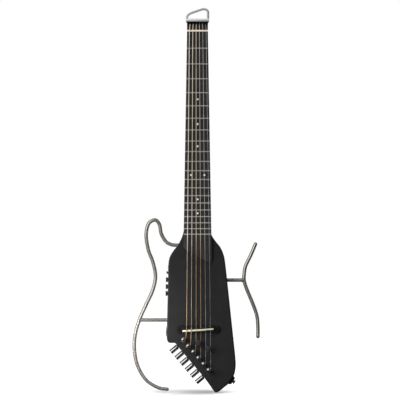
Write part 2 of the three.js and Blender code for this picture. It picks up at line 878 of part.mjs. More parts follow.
// The point inside the bail that a hook holds: the underside of its highest bend.
function hangPoint() {
  const top = bailPath().getSpacedPoints(bailSteps).reduce((a, b) => (b.y > a.y ? b : a));
  return top.setY(top.y - bailRadius);
}

function roundSection(radius) {
  const section = new THREE.Shape();
  section.absarc(0, 0, radius, 0, 2 * Math.PI);
  return section;
}

function makeBail() {
  const rod = new THREE.ExtrudeGeometry(roundSection(bailRadius), {
    steps: bailSteps, extrudePath: bailPath(), curveSegments: tubeSides / 2,
  });
  const spigots = [-1, 1].map((side) => {
    const low = new THREE.Vector3(side * bailHalfSpan, anchorTop - bailSpigotLength, -bailDepth);
    return bar(low, low.clone().setY(anchorTop + bailRadius), bailSpigotRadius, tubeSides);
  });
  add("head_loop", "zinc", joined(rod, ...spigots));
}

// Body

function slanted(geometry) {
  return geometry.applyMatrix4(slantMatrix);
}

function tunerRecess() {
  const inner = -postInset - housingInner - recessMargin;
  const outer = -postInset + housingOuter + housingBossLength + recessMargin;
  const low = tunerFirst - housingWidth / 2 - recessMargin;
  const high = tunerAlong(tunerCount - 1) + housingWidth / 2 + recessMargin;
  const shape = roundedRectangle(inner, outer, low, high, recessCorner);
  return slanted(plate(shape, -bodyThickness - overrun, -topPlate));
}

function tunerHoles(i) {
  const along = tunerAlong(i);
  const post = new THREE.Vector3(-postInset, along, -topPlate - overrun);
  const shaft = new THREE.Vector3(-postInset, along + knobAxisOffset, -frameDepth);
  return [
    bore(post, post.clone().setZ(overrun), bushingRadius + fit),
    bore(shaft, shaft.clone().setX(overrun), knobShaftRadius + runningFit),
  ].map(slanted);
}

// Each frame socket: its height, its side of the body, and where its sleeve starts.
function socketAt(fromNut, side) {
  const y = -fromNut;
  const edges = [y - sleeveRadius, y, y + sleeveRadius].map((at) => side * bodyEdge(at, side));
  return { y, side, mouth: side * (Math.min(...edges) - fit) };
}

function runPoint([across, down], reach, top, height) {
  return new THREE.Vector3(across * reach, -top - down * height, -frameDepth);
}

const leftRun = leftRunShares.map((share) =>
  runPoint(share, leftFrameReach, leftFrameTop, leftFrameHeight),
);
const rightRun = rightRunShares.map((share) =>
  runPoint(share, rightFrameReach, rightFrameTop, rightFrameHeight),
);
const sockets = {
  left_upper: socketAt(-leftRun[0].y, -1),
  left_lower: socketAt(-leftRun[leftStrutIndex].y, -1),
  right: socketAt(-rightRun[rightStrutIndex].y, 1),
};

function socketPoint(socket, inward, z = -frameDepth) {
  return new THREE.Vector3(socket.mouth - socket.side * inward, socket.y, z);
}

function socketHoles(socket) {
  const outside = bodyWidth * socket.side;
  const floor = socketPoint(socket, sleeveLength + fit);
  const screw = socketPoint(socket, sleeveLength / 2);
  const back = screw.clone().setZ(-bodyThickness - overrun);
  const seat = screw.clone().setZ(lockHeadSink + lockHeadHeight + fit - bodyThickness);
  return [
    bore(floor, floor.clone().setX(outside), sleeveRadius + fit),
    bore(back, screw, lockScrewRadius + fit),
    bore(back, seat, lockHeadRadius + fit),
  ];
}

function cavityLeft() {
  return bodyEdge(-cavityTop - cavityLength / 2, -1) + sideWall;
}

function cavityShape(margin) {
  return roundedRectangle(
    cavityLeft() - margin, cavityLeft() + cavityWidth + margin,
    -cavityTop - cavityLength - margin, -cavityTop + margin, cavityCorner,
  );
}

function sideHole(fromNut, radius, depth) {
  const outside = new THREE.Vector3(-bodyWidth, -fromNut, -controlDepth);
  return bore(outside, outside.clone().setX(depth), radius);
}

const buttonFaceLow = bodyPoint(buttonFaceLowShare);
const buttonFaceHigh = bodyPoint(buttonFaceHighShare);
const buttonPlace = buttonFaceLow.clone().add(buttonFaceHigh).multiplyScalar(1 / 2);
const buttonTurn = buttonFaceHigh.clone().sub(buttonFaceLow).angle() - Math.PI;
const buttonMatrix = new THREE.Matrix4()
  .makeRotationZ(buttonTurn)
  .setPosition(buttonPlace.x, buttonPlace.y, -bodyThickness / 2);

function bodyCuts() {
  const pocketHalf = tenonHalfWidth + fit;
  const pocket = block(
    -pocketHalf, pocketHalf, -bodyTop - tenonLength - fit, overrun - bodyTop,
    -tenonDepth - fit, overrun,
  );
  const cavity = plate(cavityShape(0), -bodyThickness - overrun, -cavityFloor);
  const coverSeat = -bodyThickness + coverThickness + fit;
  const cover = plate(cavityShape(coverLip + fit), -bodyThickness - overrun, coverSeat);
  const shaftHoles = controlsFromNut.map((at) =>
    sideHole(at, controlShaftRadius + fit, cavityLeft() + overrun),
  );
  const buttonHole = sideHole(buttonFromNut, powerStemRadius + fit, cavityLeft() + overrun);
  const jackDepth = bodyEdge(-jackFromNut, -1) + jackBarrelLength + fit;
  const jackHole = sideHole(jackFromNut, jackBarrelRadius + fit, jackDepth);
  const screwDeep = new THREE.Vector3(0, -buttonScrewLength - fit, 0);
  const strapHole = bore(screwDeep, screwDeep.clone().setY(overrun), buttonScrewRadius + fit);
  const tunerHoleSets = stringNames.flatMap((_, i) => tunerHoles(i));
  const frameHoles = Object.values(sockets).flatMap(socketHoles);
  return [
    pocket, cavity, cover, ...shaftHoles, buttonHole, jackHole,
    strapHole.applyMatrix4(buttonMatrix), tunerRecess(), ...tunerHoleSets, ...frameHoles,
  ];
}

function makeBody() {
  const blank = plate(bodyOutline(), -bodyThickness, 0, edgeRound);
  add("body", "lacquer", cut(blank, ...bodyCuts()));
}

function makeCover() {
  const lid = plate(cavityShape(coverLip), -bodyThickness, coverThickness - bodyThickness);
  add("electronics_cover", "blackPlastic", lid);
}

// Bridge, saddle and pickup strip

function stadium(length, width) {
  return roundedRectangle(-length / 2, length / 2, -width / 2, width / 2, width / 2);
}

const saddleMatrix = new THREE.Matrix4()
  .makeRotationZ(saddleSlope)
  .setPosition(saddleShift, -scaleLength - saddleSetback, 0);

function saddleSlot() {
  const half = saddleLength / 2 + fit;
  const deep = saddleThickness / 2 + fit;
  const slot = block(-half, half, -deep, deep, saddleSlotFloor, bridgeTopHeight + overrun);
  return slot.applyMatrix4(saddleMatrix);
}

function makeBridge() {
  const foot = plate(stadium(bridgeLength, bridgeWidth), fit, bridgeFootHeight, bridgeEdge);
  const ridge = plate(
    stadium(bridgeRidgeLength, bridgeRidgeWidth), fit + bridgeEdge, bridgeTopHeight, bridgeEdge,
  );
  const whole = joined(foot, ridge).translate(bridgeShift, -scaleLength - bridgeSetback, 0);
  add("bridge", "blackPlastic", cut(whole, saddleSlot()));
}

function makeSaddle() {
  const low = saddleSlotFloor + fit + piezoThickness + fit;
  const half = saddleLength / 2;
  const face = new THREE.Shape();
  face.moveTo(-half, low);
  face.lineTo(half, low);
  for (let i = 0; i <= 2 * crownSteps; i++) {
    const x = half * (1 - i / crownSteps);
    face.lineTo(x, saddleHeight - crownDrop(x));
  }
  const slab = new THREE.ExtrudeGeometry(face, { depth: saddleThickness, bevelEnabled: false });
  slab.rotateX(Math.PI / 2).translate(0, saddleThickness / 2, 0);
  const edge = -saddleThickness / 2;
  const step = block(
    half - saddleStepRun, half + overrun, edge - overrun, edge + saddleStepDepth,
    bridgeTopHeight, saddleHeight + overrun,
  );
  add("saddle", "bone", cut(slab, step).applyMatrix4(saddleMatrix));
  const strip = block(
    -half, half, -piezoWidth / 2, piezoWidth / 2,
    saddleSlotFloor + fit, saddleSlotFloor + fit + piezoThickness,
  );
  add("piezo_strip", "brass", strip.applyMatrix4(saddleMatrix));
}

// String trees

function makeTrees() {
  treeStrings.forEach((pair, tree) => {
    const y = treeY(tree);
    const x = (stringXAt(pair[0], y) + stringXAt(pair[1], y)) / 2;
    const under = treeStringHeight + stringDiameters[pair[0]] / 2 + fit;
    const button = turned([
      [0, fit], [treeFootRadius, fit], [treeFootRadius, treeFootHeight],
      [treeStemRadius, treeFootHeight + treeRim], [treeStemRadius, under],
      [treeRadius, under], [treeRadius, under + treeRim],
      [treeRadius * Math.SQRT1_2, under + treeRim + treeDome * Math.SQRT1_2],
      [0, under + treeRim + treeDome],
    ]);
    const mesh = add("string_tree_" + (tree + 1), "blackMetal", button.rotateX(Math.PI / 2));
    mesh.position.set(x, y, 0);
  });
}

// Tuners

function postProfile() {
  return [
    [0, -topPlate - housingHeight / 2], [postShaftRadius, -topPlate - housingHeight / 2],
    [postShaftRadius, postFootHeight], [postCapRadius, postFootHeight],
    [postCapRadius, postFootHeight + postChamfer], [postWaistRadius, postWaistLow],
    [postWaistRadius, postWaistHigh], [postCapRadius, postWaistHigh + postChamfer],
    [postCapRadius, postHeight - postChamfer], [postCapRadius - postChamfer, postHeight],
    [0, postHeight],
  ];
}

function makePost(i) {
  const slot = block(
    -postCapRadius - overrun, postCapRadius + overrun, -postSlotWidth / 2, postSlotWidth / 2,
    postHeight - postSlotDepth, postHeight + overrun,
  );
  const post = cut(turned(postProfile(), smallSides).rotateX(Math.PI / 2), slot);
  const mesh = add("tuner_post_" + (i + 1), "chrome", post, tunerRow);
  mesh.position.set(-postInset, tunerAlong(i), 0);
}

function makeBushing(i) {
  const inner = postShaftRadius + fit;
  const ring = turned([
    [inner, -topPlate], [bushingRadius, -topPlate], [bushingRadius, fit],
    [bushingFlangeRadius, fit], [bushingFlangeRadius - bushingEdge, bushingFlangeHeight],
    [inner, bushingFlangeHeight], [inner, -topPlate],
  ]);
  const mesh = add("tuner_bushing_" + (i + 1), "chrome", ring.rotateX(Math.PI / 2), tunerRow);
  mesh.position.set(-postInset, tunerAlong(i), 0);
}

function makeHousing(i) {
  const top = -topPlate - fit;
  const low = top - housingHeight;
  const half = housingWidth / 2;
  const shape = roundedRectangle(-housingInner, housingOuter, -half, half, housingCorner);
  const axis = new THREE.Vector3(0, knobAxisOffset, -frameDepth);
  const lid = new THREE.Vector3(0, 0, low - housingCapHeight);
  const nose = axis.clone().setX(housingOuter + housingBossLength);
  const bossInner = axis.clone().setX(housingOuter - housingCorner);
  const whole = joined(
    plate(shape, low, top, 0, cornerSteps),
    bar(lid, lid.clone().setZ(low + fit), housingCapRadius),
    common(
      bar(bossInner, nose, housingBossRadius),
      block(0, housingOuter + housingCorner, -half, half, low, top),
    ),
  );
  const postFloor = new THREE.Vector3(0, 0, -topPlate - housingHeight / 2 - fit);
  const shaftFloor = axis.clone().setX(housingOuter - shaftDepthInHousing - fit);
  const geometry = cut(
    whole,
    bore(postFloor, postFloor.clone().setZ(overrun), postShaftRadius + fit),
    bore(shaftFloor, axis.clone().setX(housingOuter + overrun), knobShaftRadius + fit),
  );
  const mesh = add("tuner_housing_" + (i + 1), "zinc", geometry, tunerRow);
  mesh.position.set(-postInset, tunerAlong(i), 0);
}

function makeKnob(i) {
  const knob = turned([
    [0, housingOuter - postInset - shaftDepthInHousing],
    [knobShaftRadius, housingOuter - postInset - shaftDepthInHousing],
    [knobShaftRadius, fit], [knobCollarRadius, fit],
    [knobCollarRadius, knobStandoff], [knobRadius - knobEdge, knobStandoff],
    [knobRadius, knobStandoff + knobEdge], [knobRadius, knobReach - knobEdge],
    [knobRadius - knobEdge, knobReach], [0, knobReach],
  ]);
  const mesh = add("tuner_knob_" + (i + 1), "chrome", knob.rotateZ(-Math.PI / 2), tunerRow);
  mesh.position.set(0, tunerAlong(i) + knobAxisOffset, -frameDepth);
}

// Frame tubes, sleeves and lock screws

// A smooth run whose steps fall evenly between its points, closer where the points are.
class RunCurve extends THREE.CatmullRomCurve3 {
  getUtoTmapping(u) {
    return u;
  }
}

function tubeAlong(points) {
  return new THREE.ExtrudeGeometry(roundSection(tubeRadius), {
    steps: (points.length - 1) * stepsPerPoint,
    extrudePath: new RunCurve(points, false, "centripetal"),
    curveSegments: tubeSides / 2,
  });
}

function spigotEnd(socket) {
  return socketPoint(socket, sleeveLength - spigotEndGap);
}

function endCap(point) {
  const dome = new THREE.SphereGeometry(tubeRadius, tubeSides, tubeSides / 2);
  return dome.translate(point.x, point.y, point.z);
}

function makeFrames() {
  const shoulder = tubeAlong([spigotEnd(sockets.left_upper), ...leftRun]);
  const leftStrut = bar(
    spigotEnd(sockets.left_lower), leftRun[leftStrutIndex], tubeRadius, tubeSides,
  );
  add("left_frame", "steel", joined(shoulder, leftStrut, endCap(leftRun.at(-1))));
  const curve = tubeAlong(rightRun);
  const rightStrut = bar(
    spigotEnd(sockets.right), rightRun[rightStrutIndex], tubeRadius, tubeSides,
  );
  const caps = [rightRun[0], rightRun.at(-1)].map(endCap);
  add("right_frame", "steel", joined(curve, rightStrut, ...caps));
}

function makeSleeve(name, socket) {
  const ring = cut(
    bar(socketPoint(socket, 0), socketPoint(socket, sleeveLength), sleeveRadius, roundSides),
    bore(
      socketPoint(socket, -overrun),
      socketPoint(socket, sleeveLength + overrun),
      tubeRadius + fit,
    ),
    bore(
      socketPoint(socket, sleeveLength / 2),
      socketPoint(socket, sleeveLength / 2, -bodyThickness),
      lockScrewRadius + fit,
    ),
  );
  add(name + "_sleeve", "brass", ring);
}

function makeLockScrew(name, socket) {
  const tip = socketPoint(socket, sleeveLength / 2, -frameDepth - tubeRadius - fit);
  const headLow = socketPoint(socket, sleeveLength / 2, lockHeadSink - bodyThickness);
  const headHigh = headLow.clone().setZ(headLow.z + lockHeadHeight);
  const slot = block(
    tip.x - lockHeadRadius - overrun, tip.x + lockHeadRadius + overrun,
    tip.y - lockSlotWidth / 2, tip.y + lockSlotWidth / 2,
    headLow.z - overrun, headLow.z + lockSlotDepth,
  );
  const screw = cut(
    joined(bar(headLow, tip, lockScrewRadius), bar(headLow, headHigh, lockHeadRadius, roundSides)),
    slot,
  );
  add(name + "_lock_screw", "steel", screw);
}

// Side controls and what they turn

function sidePiece(name, finish, profile, fromNut) {
  const mesh = add(name, finish, turned(profile).rotateZ(Math.PI / 2));
  mesh.position.set(bodyEdge(-fromNut, -1), -fromNut, -controlDepth);
}

function makeControls() {
  controlsFromNut.forEach((at, i) => {
    const wall = cavityLeft() - bodyEdge(-at, -1);
    const shaftEnd = -wall - fit - shaftInPot;
    sidePiece("control_knob_" + (i + 1), "blackPlastic", [
      [0, shaftEnd], [controlShaftRadius, shaftEnd], [controlShaftRadius, runningFit],
      [controlKnobRadius, runningFit],
      [controlKnobRadius, runningFit + controlKnobHeight - controlKnobEdge],
      [controlKnobRadius - controlKnobEdge, runningFit + controlKnobHeight],
      [0, runningFit + controlKnobHeight],
    ], at);
  });
  const wall = cavityLeft() - bodyEdge(-buttonFromNut, -1);
  const capLow = powerTravel + fit;
  sidePiece("power_button", "blackPlastic", [
    [0, -wall], [powerStemRadius, -wall], [powerStemRadius, capLow],
    [powerButtonRadius, capLow], [powerButtonRadius, capLow + powerButtonHeight - controlKnobEdge],
    [powerButtonRadius - controlKnobEdge, capLow + powerButtonHeight],
    [0, capLow + powerButtonHeight],
  ], buttonFromNut);
}

function makePreamp() {
  const near = cavityLeft() + fit;
  const face = near + potDepth;
  const board = block(
    face, face + circuitThickness, boardMargin - cavityTop - cavityLength,
    -cavityTop - boardMargin, boardMargin - bodyThickness + coverThickness,
    -cavityFloor - fit,
  );
  const pots = controlsFromNut.map((at) => {
    const front = new THREE.Vector3(near, -at, -controlDepth);
    return bar(front, front.clone().setX(face + circuitThickness / 2), potRadius);
  });
  const bores = controlsFromNut.map((at) => {
    const front = new THREE.Vector3(near - overrun, -at, -controlDepth);
    return bore(front, front.clone().setX(near + shaftInPot + fit), controlShaftRadius + fit);
  });
  const toggle = block(
    near + powerTravel, face + circuitThickness / 2,
    -buttonFromNut - switchHalfSize, -buttonFromNut + switchHalfSize,
    -controlDepth - switchHalfSize, -controlDepth + switchHalfSize,
  );
  add("preamp_board", "circuit", cut(joined(board, toggle, ...pots), ...bores));
}

function makeBattery() {
  const right = cavityLeft() + cavityWidth - fit;
  const left = right - batteryThickness;
  const low = -batteryFromNut - batteryLength;
  const top = -cavityFloor - fit;
  const cell = block(left, right, low, -batteryFromNut, top - batteryDepth, top);
  const studs = [-1, 1].map((side) => {
    const middle = top - batteryDepth / 2;
    const foot = new THREE.Vector3((left + right) / 2, low, middle + side * batteryStudInset);
    const end = foot.clone().setY(low - batteryStudHeight);
    return bar(foot.setY(low + fit), end, batteryStudRadius);
  });
  add("battery", "blackMetal", joined(cell, ...studs));
}

function makeJack() {
  const half = jackPlateWidth / 2;
  const long = jackPlateLength / 2;
  const shape = roundedRectangle(-half, half, -long, long, half);
  const flange = plate(shape, 0, jackPlateThickness);
  const barrelEnd = new THREE.Vector3(0, 0, -jackBarrelLength);
  const barrelTop = new THREE.Vector3(0, 0, jackPlateThickness / 2);
  const barrel = bar(barrelEnd, barrelTop, jackBarrelRadius, roundSides);
  const boreFloor = barrelEnd.clone().setZ(jackBackWall - jackBarrelLength);
  const hole = bore(boreFloor, new THREE.Vector3(0, 0, overrun), jackBoreRadius);
  const jack = cut(joined(flange, barrel), hole).rotateY(-Math.PI / 2);
  const mesh = add("output_jack", "steel", jack);
  const edges = [-long, 0, long].map((up) => bodyEdge(up - jackFromNut, -1));
  mesh.position.set(Math.min(...edges) - fit, -jackFromNut, -controlDepth);
}

function makeStrapButton() {
  const button = turned([
    [0, -buttonScrewLength], [buttonScrewRadius, -buttonScrewLength], [buttonScrewRadius, fit],
    [buttonBaseRadius, fit], [buttonBaseRadius, buttonBaseHeight],
    [buttonConeRadius, buttonConeHeight], [buttonNeckRadius, buttonConeHeight],
    [buttonNeckRadius, buttonNeckHeight], [buttonRimRadius, buttonNeckHeight + fit],
    [buttonRimRadius, buttonHeight - fit], [buttonRimRadius - fit, buttonHeight],
    [0, buttonHeight],
  ]);
  add("strap_button", "blackPlastic", button.applyMatrix4(buttonMatrix));
}

// Assembly

makeBody();
makeNeck();
makeTrussRod();
makeFingerboard();
makeNut();
makeAnchorBlock();
makeClampBar();
makeBail();
makeBridge();
makeSaddle();
makeStrings();
makeTrees();
stringNames.forEach((_, i) => {
  makeHousing(i);
  makeBushing(i);
  makePost(i);
  makeKnob(i);
});
makeFrames();
Object.entries(sockets).forEach(([name, socket]) => {
  makeSleeve(name, socket);
  makeLockScrew(name, socket);
});
makeControls();
makePreamp();
makeBattery();
makeCover();
makeJack();
makeStrapButton();

const gaps = stringNames.map((_, i) => leastWindingGap(i));
console.log("least gap between turns of a string winding, mm: " + Math.min(...gaps).toFixed(3));

// Stood upright: the neck points up, the face looks to -y, and the hang point is the origin.
const hang = hangPoint();
group.position.set(-hang.x, hang.z, -hang.y);
group.rotation.x = Math.PI / 2;
const guitar = new THREE.Group();
guitar.add(group);

export default guitar;
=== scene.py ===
"""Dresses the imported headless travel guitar: its smooth forms, small fittings and finishes.

Pieces are laid out in millimetres, as on a drawing of the face: x across the strings, y up the neck from the
nut and z out of the face. DRAWING carries that drawing into the frame's own metres.
"""

import json
import math

import bmesh
import bpy
from mathutils import Matrix, Vector

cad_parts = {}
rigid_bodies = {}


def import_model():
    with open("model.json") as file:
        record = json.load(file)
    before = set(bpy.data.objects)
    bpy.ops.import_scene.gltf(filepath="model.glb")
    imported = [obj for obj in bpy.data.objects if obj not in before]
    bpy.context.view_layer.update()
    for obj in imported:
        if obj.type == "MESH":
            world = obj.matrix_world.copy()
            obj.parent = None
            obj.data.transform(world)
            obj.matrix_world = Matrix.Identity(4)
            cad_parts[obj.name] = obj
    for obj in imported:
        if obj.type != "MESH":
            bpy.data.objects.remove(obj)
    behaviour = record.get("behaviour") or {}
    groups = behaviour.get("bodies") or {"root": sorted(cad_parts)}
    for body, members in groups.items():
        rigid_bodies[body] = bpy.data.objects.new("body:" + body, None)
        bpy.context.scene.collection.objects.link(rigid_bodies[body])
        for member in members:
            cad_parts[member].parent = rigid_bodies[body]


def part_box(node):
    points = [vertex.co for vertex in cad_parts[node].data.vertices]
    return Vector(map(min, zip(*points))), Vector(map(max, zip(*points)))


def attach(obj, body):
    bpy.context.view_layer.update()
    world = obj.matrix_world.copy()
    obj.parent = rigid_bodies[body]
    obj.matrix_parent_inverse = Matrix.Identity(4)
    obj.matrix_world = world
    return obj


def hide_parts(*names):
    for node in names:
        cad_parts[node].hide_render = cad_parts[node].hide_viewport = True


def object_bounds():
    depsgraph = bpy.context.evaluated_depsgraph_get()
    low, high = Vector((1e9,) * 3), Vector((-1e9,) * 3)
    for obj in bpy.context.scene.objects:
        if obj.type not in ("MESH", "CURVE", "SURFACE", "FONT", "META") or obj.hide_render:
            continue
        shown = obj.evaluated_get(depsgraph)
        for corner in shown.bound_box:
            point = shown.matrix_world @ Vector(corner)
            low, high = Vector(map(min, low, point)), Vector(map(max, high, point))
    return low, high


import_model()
cad_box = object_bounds()

# Drawing and frame
MILLIMETRE = 0.001
HANG_POINT = Vector((13.723, 45.896, 3.0))
DRAWING = Matrix.Scale(MILLIMETRE, 4) @ Matrix((
    (1, 0, 0, -HANG_POINT.x),
    (0, 0, -1, -HANG_POINT.z),
    (0, 1, 0, -HANG_POINT.y),
    (0, 0, 0, 1),
))
ALONG_X = Matrix.Rotation(math.pi / 2, 4, "Y")
ALONG_Y = Matrix.Rotation(-math.pi / 2, 4, "X")
FACING_BACK = Matrix.Rotation(math.pi, 4, "X")
OUT_OF_LEFT_SIDE = Matrix.Rotation(-math.pi / 2, 4, "Y")

# Facets
ROUND_SIDES = 40
FINE_SIDES = 48
KNOB_SIDES = 56
SMALL_SIDES = 24
SCREW_SIDES = 20
GROOVE_SIDES = 16
WIRE_SIDES = 10
EASE_STEPS = 4
BODY_EDGE_STEPS = 7
CURVE_STEPS = 10
DOME_STEPS = 8
LONGEST_EASE = 0.45
SHARP_EASE = 0.3
SOFT_EASE = 0.4
ROUND_EASE = 0.5
LEAST_LEAN = 0.5
SMOOTH_ANGLE = math.radians(32)
FLAT_ANGLE = math.radians(0.6)
FLAT_CROWN = 1e9

# Room between pieces, and how far a cutting form runs past what it cuts
FIT = 0.3
SLACK = 0.1
CLOSE_FIT = 0.05
CLEAR_OF_FACE = 0.02
PAST = 1.0

# Scale, neck and fingerboard
SCALE_LENGTH = 635.0
FRET_COUNT = 20
NOTES_PER_OCTAVE = 12
NUT_WIDTH = 45.0
OCTAVE_WIDTH = 55.5
BOARD_THICKNESS = 5.0
BOARD_RADIUS = 400.0
BOARD_GLUE_LINE = 0.05
BOARD_EDGE = 0.45
# Painted shadow strip round the fingerboard's edge: its width, and how far above the face it starts
SHADOW_STRIP_WIDTH = 0.9
SHADOW_STRIP_LOW = 0.01
BODY_TOP = 424.0
BOARD_LENGTH = 496.0
TONGUE_SLOPE = math.radians(30.5)
TONGUE_CORNER = 9.0
TONGUE_STEPS = 5
FRET_WIDTH = 2.3
FRET_HEIGHT = 1.1
FRET_INSET = 0.4
FRET_END_RUN = 1.3
FRET_END_LIFT = 0.1
FRET_SHOULDER_LIFT = 0.72
FRET_SHOULDER_SHARE = 0.4
FRET_FULLNESS = 0.8
FRET_TANG = 1.0
FRET_SECTION_STEPS = 8
NECK_DEPTH_AT_NUT = 15.5
NECK_DEPTH_AT_HEEL = 17.8
HEEL_DEPTH = 34.0
HEEL_CURVE = 52.0
NECK_FULLNESS = 0.8
NECK_HEEL_STEPS = 24
NECK_SHAFT_STEPS = 8
NECK_SECTION_STEPS = 40
DOT_RADIUS = 2.05
DOT_PROFILE = ((0, -0.8), (DOT_RADIUS, -0.8), (DOT_RADIUS, 0.03), (DOT_RADIUS - 0.1, 0.06), (0, 0.08))
DOT_FRETS = (5, 7, 9, 15, 17)
DOUBLE_DOT_FRET = 12
DOUBLE_DOT_SPREAD = 14.4
DOT_SHIFT = 0.3

# Nut and strings
NUT_THICKNESS = 3.7
NUT_RISE = 1.7
NUT_EDGE = 0.2
NUT_STEPS = 32
NUT_TOP_SECTION = (
    (NUT_THICKNESS, 1.1), (NUT_THICKNESS - 0.5, 0.5), (NUT_THICKNESS - 1.5, 0.1),
    (1.2, 0), (0.3, 0.1), (0, 0.45),
)
GROOVE_SLACK = 0.08
NUT_STRING_SPAN = 35.8
STRING_SHIFT_AT_NUT = 0.65
STRING_NAMES = ("low_e", "a", "d", "g", "b", "high_e")
STRINGS = range(len(STRING_NAMES))
STRING_DIAMETERS = (1.35, 1.07, 0.81, 0.61, 0.43, 0.33)
WOUND_STRINGS = 4
SADDLE_STRING_SPAN = 51.2
STRING_SHIFT_AT_SADDLE = 2.25
STRING_BEND = 1.2
STRING_STRETCH = 60.0
WRAP_SHARE = 0.27
RIDGE_SHARE = 0.3
# Painted sheen on the strings: the heights over which a string turns from its tone over the body to a
# brighter one over the neck, how much of its colour that sets, and the colours at both ends
SHEEN_FROM = -0.54
SHEEN_TO = -0.465
SHEEN_PART = 0.9
STEEL_OVER_BODY = 0.34
STEEL_SHEEN_OVER_NECK = 0.98
BRONZE_OVER_BODY = (0.3, 0.195, 0.11)
BRONZE_SHEEN_OVER_NECK = (1.0, 0.88, 0.7)

# Head
CLAMP_LOW = 17.4
CLAMP_DEPTH = 4.0
CLAMP_HEIGHT = 6.0
CLAMP_HALF_WIDTH = 24.2
CLAMP_CHAMFER = 2.2
CLAMP_FOOT_INSET = 4.4
CLAMP_EDGE = 0.35
ANCHOR_LOW = CLAMP_LOW + CLAMP_DEPTH + FIT
ANCHOR_DEPTH = 6.4
ANCHOR_TOP = ANCHOR_LOW + ANCHOR_DEPTH
ANCHOR_HALF_WIDTH = 25.2
ANCHOR_FRONT = 5.6
ANCHOR_BACK = 13.0
ANCHOR_ROUND_STEPS = 20
ANCHOR_CORNER = 0.8
BAR_END_SHARE = 0.3
ANCHOR_STRING_SPAN = 33.0
ANCHOR_STRING_HEIGHT = 1.4
BALL_RADIUS = 1.9
BALL_LENGTH = 3.4
BALL_EDGE = 0.25
BALL_HALF_PROFILE = ((1.4, 0.6), (BALL_RADIUS, 1.0), (BALL_RADIUS, BALL_LENGTH / 2), (0, BALL_LENGTH / 2))
BALL_POCKET_RADIUS = 2.85
BALL_POCKET_DEPTH = 4.2
LOOP_RADIUS = 2.5
LOOP_HALF_SPAN = 22.6
LOOP_HEIGHT = 20.0
LOOP_SHOULDER_HEIGHT = 8.9
LOOP_SHOULDER_REACH = 7.5
LOOP_SHOULDER_RUN = 11.0
LOOP_PEAK_REACH = 8.5
LOOP_PEAK_DROP = 7.6
LOOP_PEAK_START = 10.0
LOOP_DEPTH = 3.0
LOOP_ROOT = 2.0
LOOP_SIDES = 28
LOOP_SHOULDER_STEPS = 14
LOOP_PEAK_STEPS = 24

# Body
BODY_WIDTH = 147.0
BODY_THICKNESS = 40.0
EDGE_ROUND = 3.0
BRIDGE_SHARE = 0.6046
BRIDGE_DOWN = 211.0
TAIL_LENGTH = 138.0
LEFT_SHOULDER_SHARES = (
    (-0.1973, 0), (-0.2045, 0.018), (-0.2335, 0.0547), (-0.287, 0.1),
    (-0.347, 0.131), (-0.4, 0.167), (-0.4218, 0.2026), (-0.4252, 0.2395),
)
LEFT_SIDE_END_SHARE = (-0.4498, 0.658)
LEFT_CORNER_SHARE = (-0.4512, 0.7011)
LEFT_CORNER_END_SHARE = (-0.394, 0.7011)
SLANT_LEAD_SHARE = (-0.336, 0.7011)
SLANT_CORNER_SHARE = (-0.322, 0.7011)
SLANT_START_SHARE = (-0.3082, 0.712)
SLANT_END_SHARE = (0.1041, 0.9183)
TIP_SHARES = ((0.1803, 0.9621), (0.2286, 0.9914), (0.2707, 1.0069), (0.3293, 0.9953))
BUTTON_FACE_LOW_SHARE = (0.4524, 0.954)
BUTTON_FACE_HIGH_SHARE = (0.5279, 0.9067)
RIGHT_FLANK_SHARES = ((0.5505, 0.8765), (0.5598, 0.83), (0.551, 0.776), (0.5322, 0.7011))
RIGHT_SIDE_START_SHARE = (0.4259, 0.2825)
RIGHT_SHOULDER_SHARES = (
    (0.3993, 0.1903), (0.3728, 0.147), (0.3306, 0.11), (0.2619, 0.0734), (0.2075, 0.0364), (0.1973, 0),
)

# Bridge and saddle
BRIDGE_SHIFT = 0.5
BRIDGE_SETBACK = 4.4
BRIDGE_LENGTH = 92.4
BRIDGE_WIDTH = 16.6
BRIDGE_FOOT_HEIGHT = 4.0
BRIDGE_TOP_HEIGHT = 8.4
BRIDGE_RIDGE_LENGTH = 74.0
BRIDGE_RIDGE_WIDTH = 12.6
BRIDGE_EDGE = 1.2
BRIDGE_SCREW_SPREAD = 40.3
BRIDGE_SCREW_RADIUS = 2.6
BRIDGE_SCREW_HEIGHT = 1.9
BRIDGE_RIDGE_LOW = 1.5
SADDLE_SLOT_FLOOR = 2.4
ABOVE_SADDLE = 12.0
SADDLE_SHIFT = 1.1
SADDLE_SETBACK = 5.9
SADDLE_LENGTH = 66.6
SADDLE_THICKNESS = 3.4
SADDLE_HEIGHT = 10.8
SADDLE_LOW = 4.4
SADDLE_SLOPE = math.radians(3.87)
SADDLE_STEP_RUN = 13.0
SADDLE_STEP_DEPTH = 0.9
SADDLE_EDGE = 0.25
SADDLE_STEPS = 40
SADDLE_TOP_SECTION = ((1, 0.9), (0.8, 0.35), (0.4, 0.05), (-0.2, 0), (-0.7, 0.2), (-1, 0.7))

# Tuners
TUNER_FIRST = 1.8
TUNER_PITCH = 17.0
POST_INSET = 18.5
TOP_PLATE = 12.0
POST_SHAFT_RADIUS = 3.0
POST_WAIST_RADIUS = 3.3
POST_CAP_RADIUS = 4.3
POST_FOOT_HEIGHT = 2.4
POST_WAIST_LOW = 4.2
POST_WAIST_HIGH = 9.4
POST_HEIGHT = 11.6
POST_DOME = 1.1
POST_LIP = 0.7
POST_SLOT_WIDTH = 1.5
POST_SLOT_DEPTH = 1.8
WINDING_LOW = 4.8
WINDING_GAP = 0.5
WINDING_TURNS = (2, 2, 2, 2, 3, 3)
WINDING_STEPS = 48
BUSHING_FLANGE_RADIUS = 5.5
BUSHING_FLANGE_HEIGHT = 1.5
BUSHING_RADIUS = 4.4
BUSHING_RIM = 0.7
BUSHING_SLOPE_RUN = 0.8
HOUSING_WIDTH = 14.6
HOUSING_INNER = 8.5
HOUSING_OUTER = 9.0
HOUSING_HEIGHT = 15.0
HOUSING_CORNER = 2.5
